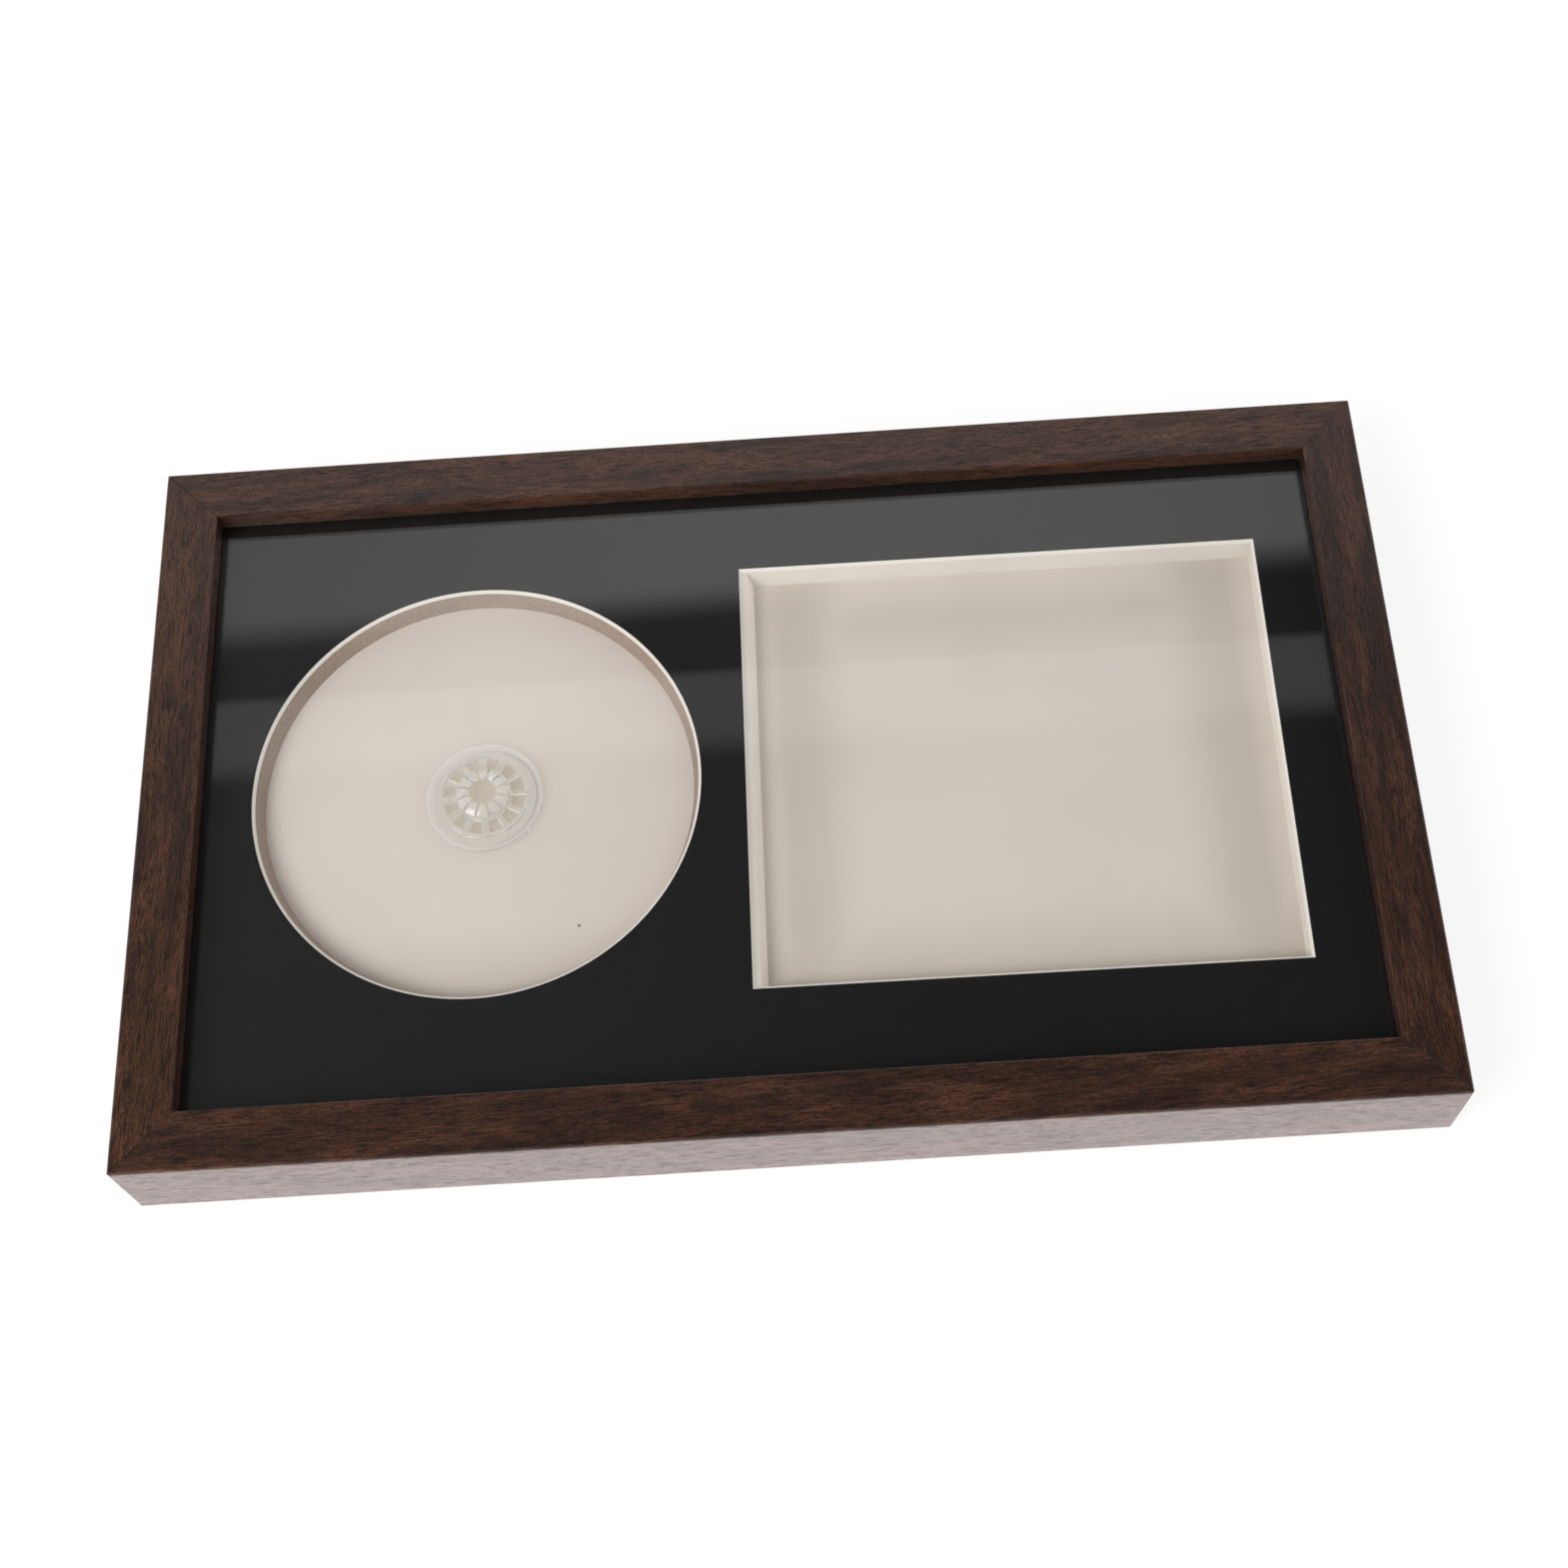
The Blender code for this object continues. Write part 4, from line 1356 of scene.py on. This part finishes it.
@dataclass
class BackHardware:
    """Back panel with its swivel clips, hangers and rivets."""

    layout: Layout
    panel_edge: float = 0.4 * MM
    shank_radius: float = 1.5 * MM
    bore_radius: float = 1.8 * MM
    head_radius: float = 2.6 * MM
    head_height: float = 0.9 * MM
    foot_radius: float = 2.3 * MM
    foot_height: float = 0.6 * MM
    clip_width: float = 9.0 * MM
    clip_edge: float = 0.18 * MM
    clip_steps: int = 14
    groove: Triple = (3.6 * MM, 1.6 * MM, 0.3 * MM)
    groove_rounding: float = 0.9
    strap_width: float = 9.0 * MM
    strap_thickness: float = 0.8 * MM
    strap_length: float = 23.5 * MM
    strap_edge: float = 0.14 * MM
    strap_steps: int = 6
    roll_end: float = math.radians(-190)
    roll_steps: int = 28
    wire_radius: float = 0.6 * MM
    ring_half_width: float = 7.0 * MM
    ring_reach: float = 7.2 * MM
    ring_corner: float = 1.2 * MM
    corner_steps: int = 6
    bow_steps: int = 40
    dome_steps: int = 8
    hollow: float = 0.7
    bore_sides: int = 32
    round_sides: int = 40
    rivet_sharp: float = 40.0
    ring_sharp: float = 60.0
    corners: tuple[str, ...] = ("bottom_left", "bottom_right", "top_left", "top_right")
    sides: tuple[str, ...] = ("left", "right")
    rows: tuple[str, ...] = ("upper", "lower")

    def build(self) -> None:
        """Model the panel and what is riveted to it."""
        self.panel()
        self.swivel_clips()
        for side in self.sides:
            axis = self.layout.pivot(f"ring_{side}_swing")
            self.strap(side, axis)
            self.ring(side, axis)
        self.rivets()
        for corner in self.corners:
            dress(frame["nodes"][f"corner_nail_{corner}"], [Finishes.NAIL])

    def rivet_names(self) -> list[str]:
        """Nodes of all the rivets, those of the clips first."""
        names = [f"clip_rivet_{name}" for name in (*self.corners, *self.sides)]
        return names + [f"hanger_rivet_{side}_{row}" for side in self.sides for row in self.rows]

    def panel(self) -> None:
        """Fibreboard panel with a stepped hole for each rivet."""
        low, high = self.layout.levels("back_panel")
        panel = block("fibreboard_panel", *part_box("back_panel"))
        with editing(panel, "EDGE"):
            ease(panel, lambda a, b: abs(a.z - b.z) < SMALL, self.panel_edge, 2)
        room = self.bore_radius - self.shank_radius
        step = high - self.foot_height - room
        foot = self.foot_radius + room
        profile = [
            (0, low - OVERRUN),
            (self.bore_radius, low - OVERRUN),
            (self.bore_radius, step),
            (foot, step),
            (foot, high + OVERRUN),
            (0, high + OVERRUN),
        ]
        drill = lathe("drill", profile, (0, 0), self.bore_sides)
        places = {name: (*self.layout.middle(name), 0) for name in self.rivet_names()}
        holes = [twin(drill, f"hole_{name}", place) for name, place in places.items()]
        drop(drill)
        combine(panel, holes)
        hand_over(panel, [Finishes.FIBREBOARD], "back_unit", "fibreboard", "back_panel")

    def bore(self, place: Spot, heights: Spot, sides: int) -> Piece:
        """Cutter for a rivet's hole."""
        return drum("bore", place, heights, (self.bore_radius, self.bore_radius), sides)

    def swivel_clips(self) -> None:
        """Round-ended steel tongues with a pressed finger groove, each on its own body."""
        for name in (*self.corners, *self.sides):
            low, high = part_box(f"clip_{name}")
            pivot = self.layout.pivot(f"clip_{name}_turn")
            clip = block(f"steel_clip_{name}", low, high)
            with editing(clip, "EDGE"):
                ease(clip, lambda a, b: abs(a.z - b.z) > SMALL, self.clip_width / 2 - SMALL, self.clip_steps)
                ease(clip, lambda a, b: abs(a.z - b.z) < SMALL, self.clip_edge, 2)
            bore = self.bore((pivot.x, pivot.y), (low.z - OVERRUN, high.z + OVERRUN), self.round_sides)
            combine(clip, [bore, self.finger_groove(low, high, pivot)])
            hand_over(clip, [Finishes.CLIP], f"swivel_clip_{name}", "clip_zinc", f"clip_{name}")

    def finger_groove(self, low: Vector, high: Vector, pivot: Vector) -> Piece:
        """Model the cutter for the groove pressed across the free end of a clip.

        Args:
            low: lowest corner of the clip.
            high: its highest corner.
            pivot: a point on the axis it turns about.

        Returns:
            The cutter, on the side that shows.
        """
        middle = (low + high) / 2
        along = Vector((middle.x - pivot.x, middle.y - pivot.y, 0)).normalized()
        length, width, depth = self.groove
        place = middle + along * (self.clip_width / 4)
        across = Vector((-along.y, along.x, 0))
        x, y = (abs(along[n]) * width / 2 + abs(across[n]) * length / 2 for n in range(2))
        reach = Vector((x, y, depth))
        place.z = low.z
        cutter = block("finger_groove", place - reach, place + reach)
        with editing(cutter, "EDGE"):
            ease(cutter, lambda a, b: True, depth * self.groove_rounding)
        return cutter

    def strap(self, side: str, axis: Vector) -> None:
        """Strap whose end is rolled round its ring: a traced line, widened, thickened, rounded and drilled.

        Args:
            side: left or right.
            axis: a point on the axis that the ring swings about.
        """
        middle = self.strap_thickness / 2
        radius = self.layout.levels(f"hanger_strap_{side}")[1] - axis.z - middle
        left, far = axis.x - self.strap_width / 2, axis.y - self.strap_length
        points = [(left, far, axis.z + radius)]
        for step in range(self.roll_steps + 1):
            turn = QUARTER + (self.roll_end - QUARTER) * step / self.roll_steps
            points.append((left, axis.y + radius * math.cos(turn), axis.z + radius * math.sin(turn)))
        strap = trace(f"rolled_strap_{side}", points)
        with editing(strap, "EDGE"):
            bpy.ops.mesh.select_all(action="SELECT")
            extrude((self.strap_width, 0, 0))
            heal()
        modify(strap, "SOLIDIFY", thickness=self.strap_thickness, offset=0.0)

        def at_end(a: Vector, b: Vector) -> bool:
            """Test for an upright edge at the flat end."""
            return abs(a.z - b.z) > middle and max(a.y, b.y) < far + middle

        with editing(strap, "EDGE"):
            ease(strap, at_end, self.strap_width / 4, self.strap_steps)
        heights = (axis.z, axis.z + radius + OVERRUN)
        places = [self.layout.middle(f"hanger_rivet_{side}_{row}") for row in self.rows]
        combine(strap, [self.bore(place, heights, self.bore_sides) for place in places])
        modify(strap, "BEVEL", width=self.strap_edge, segments=2, limit_method="ANGLE")
        hand_over(strap, [Finishes.HANGER], "back_unit", "hanger_nickel", f"hanger_strap_{side}")

    def ring(self, side: str, axis: Vector) -> None:
        """Wire ring whose bar lies in the roll of a strap.

        Args:
            side: left or right.
            axis: a point on the axis it swings about.
        """
        corner, half = self.ring_corner, self.ring_half_width
        drop_below = self.ring_reach - corner
        outline = [
            (-half + corner + corner * math.cos(turn), -corner + corner * math.sin(turn))
            for turn in (math.pi - QUARTER * n / self.corner_steps for n in range(self.corner_steps + 1))
        ]
        outline += [(-x, z) for x, z in reversed(outline)]
        bow = (math.pi * n / self.bow_steps for n in range(1, self.bow_steps + 1))
        outline += [(half * math.cos(turn), -corner - drop_below * math.sin(turn)) for turn in bow]
        ring = trace(f"wire_ring_{side}", [(axis.x + x, axis.y, axis.z + z) for x, z in outline])
        with editing(ring, "VERT"):
            weld()
        bpy.ops.object.convert(target="CURVE")
        ring.data.bevel_depth = self.wire_radius
        ring.data.bevel_resolution = 4
        bpy.ops.object.convert(target="MESH")
        with editing(ring, "FACE"):
            heal()
        node = f"hanger_ring_{side}"
        hand_over(ring, [Finishes.HANGER], f"ring_{side}", "hanger_nickel", node, sharp=self.ring_sharp)

    def rivets(self) -> None:
        """Turned rivets, each with a domed head behind and its set foot in the panel's front."""
        for node in self.rivet_names():
            low, high = self.layout.levels(node)
            head = low + self.head_height
            dome = (
                (self.head_radius * math.sin(turn), head - self.head_height * math.cos(turn))
                for turn in (QUARTER * n / self.dome_steps for n in range(self.dome_steps + 1))
            )
            profile = [
                *dome,
                (self.shank_radius, head),
                (self.shank_radius, high - self.foot_height),
                (self.foot_radius, high - self.foot_height),
                (self.foot_radius, high),
                (self.shank_radius * self.hollow, high),
                (0, high - self.foot_height / 2),
            ]
            rivet = lathe(f"turned_{node}", profile, self.layout.middle(node), self.round_sides)
            slot = "clip_zinc" if node.startswith("clip") else "hanger_nickel"
            hand_over(rivet, [Finishes.RIVET], "back_unit", slot, node, sharp=self.rivet_sharp)


@dataclass(frozen=True)
class Lamp:
    """A soft lamp that faces the frame: an area lamp by its width, or a sun by its angle."""

    name: str
    kind: str
    place: Triple
    power: float
    width: float


@dataclass
class Studio:
    """Camera at the photograph's angle, pale floor and plain soft light."""

    camera_place: Triple = (0.02201, -0.28421, 0.61271)
    camera_turn: Triple = (26.8077, 2.2610, -2.8790)
    lens: float = 53.95
    shift: Spot = (-0.022214, -0.040672)
    floor_size: float = 8.0
    floor_drop: float = 0.05 * MM
    floor_tone: Colour = (232, 232, 232)
    floor_glow: float = 0.82
    floor_shine: float = 1.62
    floor_tint: Colour = (255, 245, 244)
    floor_shade: Colour = (140, 140, 140)
    sky: tuple[Spot, ...] = ((0.0, 1.08), (0.30, 1.08), (0.60, 0.70), (0.80, 0.70), (0.90, 0.13))
    soft_lamps: tuple[Lamp, ...] = (
        Lamp("key", "AREA", (-0.75, -0.60, 0.95), 9.5, 0.7),
        Lamp("front", "AREA", (-0.40, -1.25, 0.05), 5.0, 0.06),
        Lamp("under", "SUN", (0.0, 0.0, -1.0), 2.2, math.radians(20)),
    )
    opening: float = 0.95
    opening_edge: float = 0.12
    far_edge: Spot = (0.566, 0.591)
    far_slant: float = -0.02
    strip: tuple[Spot, Spot] = ((0.488, 0.507), (0.533, 0.540))
    strip_level: float = 0.42
    dark_level: float = 0.045
    left_haze: float = 0.10
    haze_end: Spot = (-0.38, 0.15)
    wall_fade: tuple[float, ...] = (0.05, 0.40, 1.0, 0.72)
    wall_rise: Spot = (0.6, 1.0)
    horizon: float = 0.001

    def build(self) -> None:
        """Set up the camera, the floor, the world and the lamps."""
        self.camera()
        self.floor()
        self.world()
        self.lamps()
        bpy.context.scene.view_settings.view_transform = "Standard"

    def camera(self) -> None:
        """Camera fitted to the frame's edges in the photograph."""
        data = bpy.data.cameras.new("camera")
        data.sensor_width = 36.0
        data.lens = self.lens
        data.shift_x, data.shift_y = self.shift
        camera = bpy.data.objects.new("camera", data)
        camera.location = self.camera_place
        camera.rotation_euler = [math.radians(angle) for angle in self.camera_turn]
        bpy.context.scene.collection.objects.link(camera)
        bpy.context.scene.camera = camera

    def floor(self) -> None:
        """Pale floor that shows white, keeps the frame's shadow and is clear when seen from below."""
        bpy.ops.mesh.primitive_plane_add(size=self.floor_size, location=(0, 0, -self.floor_drop))
        floor = settle("pale_floor")
        floor.visible_shadow = False
        material = bpy.data.materials.new("floor")
        material.use_nodes = True
        graph = Graph(material.node_tree)
        rays = graph.add("LightPath").outputs
        mirrored = rays["Is Glossy Ray"]
        looked_at = graph.maths("MAXIMUM", rays["Is Camera Ray"], mirrored)
        looked_at = graph.maths("MAXIMUM", looked_at, rays["Is Transmission Ray"])
        plain = graph.add("BsdfDiffuse", {"Color": seen(self.floor_tone)}).outputs[0]
        shade = graph.add("BsdfDiffuse", {"Color": seen(self.floor_shade)}).outputs[0]
        strength = graph.maths("MULTIPLY_ADD", mirrored, self.floor_shine - self.floor_glow, self.floor_glow)
        tint = graph.mix(mirrored, WHITE, seen(self.floor_tint))
        glow = graph.add("Emission", {"Color": tint, "Strength": strength}).outputs[0]
        bright = graph.add("AddShader", {0: shade, 1: glow}).outputs[0]
        top = graph.add("MixShader", {0: looked_at, 1: plain, 2: bright}).outputs[0]
        behind = graph.add("NewGeometry").outputs["Backfacing"]
        clear = graph.add("BsdfTransparent").outputs[0]
        surface = graph.add("MixShader", {0: behind, 1: top, 2: clear}).outputs[0]
        graph.add("OutputMaterial", {"Surface": surface})
        floor.data.materials.append(material)

    def world(self) -> None:
        """White walls all round and a dim opening overhead, which reflections show crossed by one strip."""
        world = bpy.data.worlds.new("studio")
        world.use_nodes = True
        bpy.context.scene.world = world
        graph = Graph(world.node_tree)
        towards = graph.add("SeparateXYZ", {0: graph.add("TexCoord").outputs["Generated"]}).outputs
        height = graph.maths("MAXIMUM", towards["Z"], self.horizon)
        sideways = graph.maths("DIVIDE", towards["X"], height)
        across = graph.maths("ABSOLUTE", sideways)
        away = graph.maths("DIVIDE", towards["Y"], height)
        sides = graph.fade(across, self.opening - self.opening_edge, self.opening, 1.0, 0.0)
        near = graph.fade(away, -self.opening, -self.opening + self.opening_edge)
        slant = graph.maths("MULTIPLY_ADD", sideways, self.far_slant, away)
        far = graph.fade(slant, *self.far_edge, 1.0, 0.0)
        opening = graph.maths("MULTIPLY", graph.maths("MULTIPLY", sides, near), far)
        start, end = self.strip
        strip = graph.maths("MULTIPLY", graph.fade(away, *start), graph.fade(away, *end, 1.0, 0.0))
        dim = graph.maths("MULTIPLY_ADD", strip, self.strip_level - self.dark_level, self.dark_level)
        dim = graph.maths("ADD", dim, graph.fade(sideways, *self.haze_end, self.left_haze, 0.0))
        walls = graph.fade(across, *self.wall_fade)
        bright = graph.maths("MAXIMUM", walls, graph.fade(across, *self.wall_rise))
        reflected = graph.blend(opening, bright, dim)
        sky = self.sky[0][1]
        for (start, before), (end, after) in zip(self.sky, self.sky[1:]):
            if before != after:
                sky = graph.maths("MULTIPLY", sky, graph.fade(towards["Z"], start, end, 1.0, after / before))
        sky = graph.maths("MULTIPLY", graph.maths("GREATER_THAN", towards["Z"], 0.0), sky)
        rays = graph.add("LightPath").outputs
        mirrored = graph.maths("MAXIMUM", rays["Is Glossy Ray"], rays["Is Transmission Ray"])
        level = graph.blend(rays["Is Camera Ray"], graph.blend(mirrored, sky, reflected), 1.0)
        background = graph.add("Background", {"Color": WHITE, "Strength": level}).outputs[0]
        graph.add("OutputWorld", {"Surface": background})

    def lamps(self) -> None:
        """Soft lamps from the left, the front and, for looking at the back, from below."""
        for lamp in self.soft_lamps:
            light = bpy.data.lights.new(lamp.name, lamp.kind)
            light.energy = lamp.power
            setattr(light, "size" if lamp.kind == "AREA" else "angle", lamp.width)
            holder = bpy.data.objects.new(lamp.name, light)
            holder.location = lamp.place
            holder.rotation_euler = (-Vector(lamp.place)).to_track_quat("-Z", "Y").to_euler()
            holder.visible_glossy = False
            bpy.context.scene.collection.objects.link(holder)


def main() -> None:
    """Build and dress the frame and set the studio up."""
    logging.basicConfig(level=logging.INFO, format="%(message)s")
    layout = Layout()
    Studio().build()
    Moulding(layout).build()
    Sheets(layout).build()
    Hub(layout).build()
    BackHardware(layout).build()


if __name__ == "__main__":
    main()
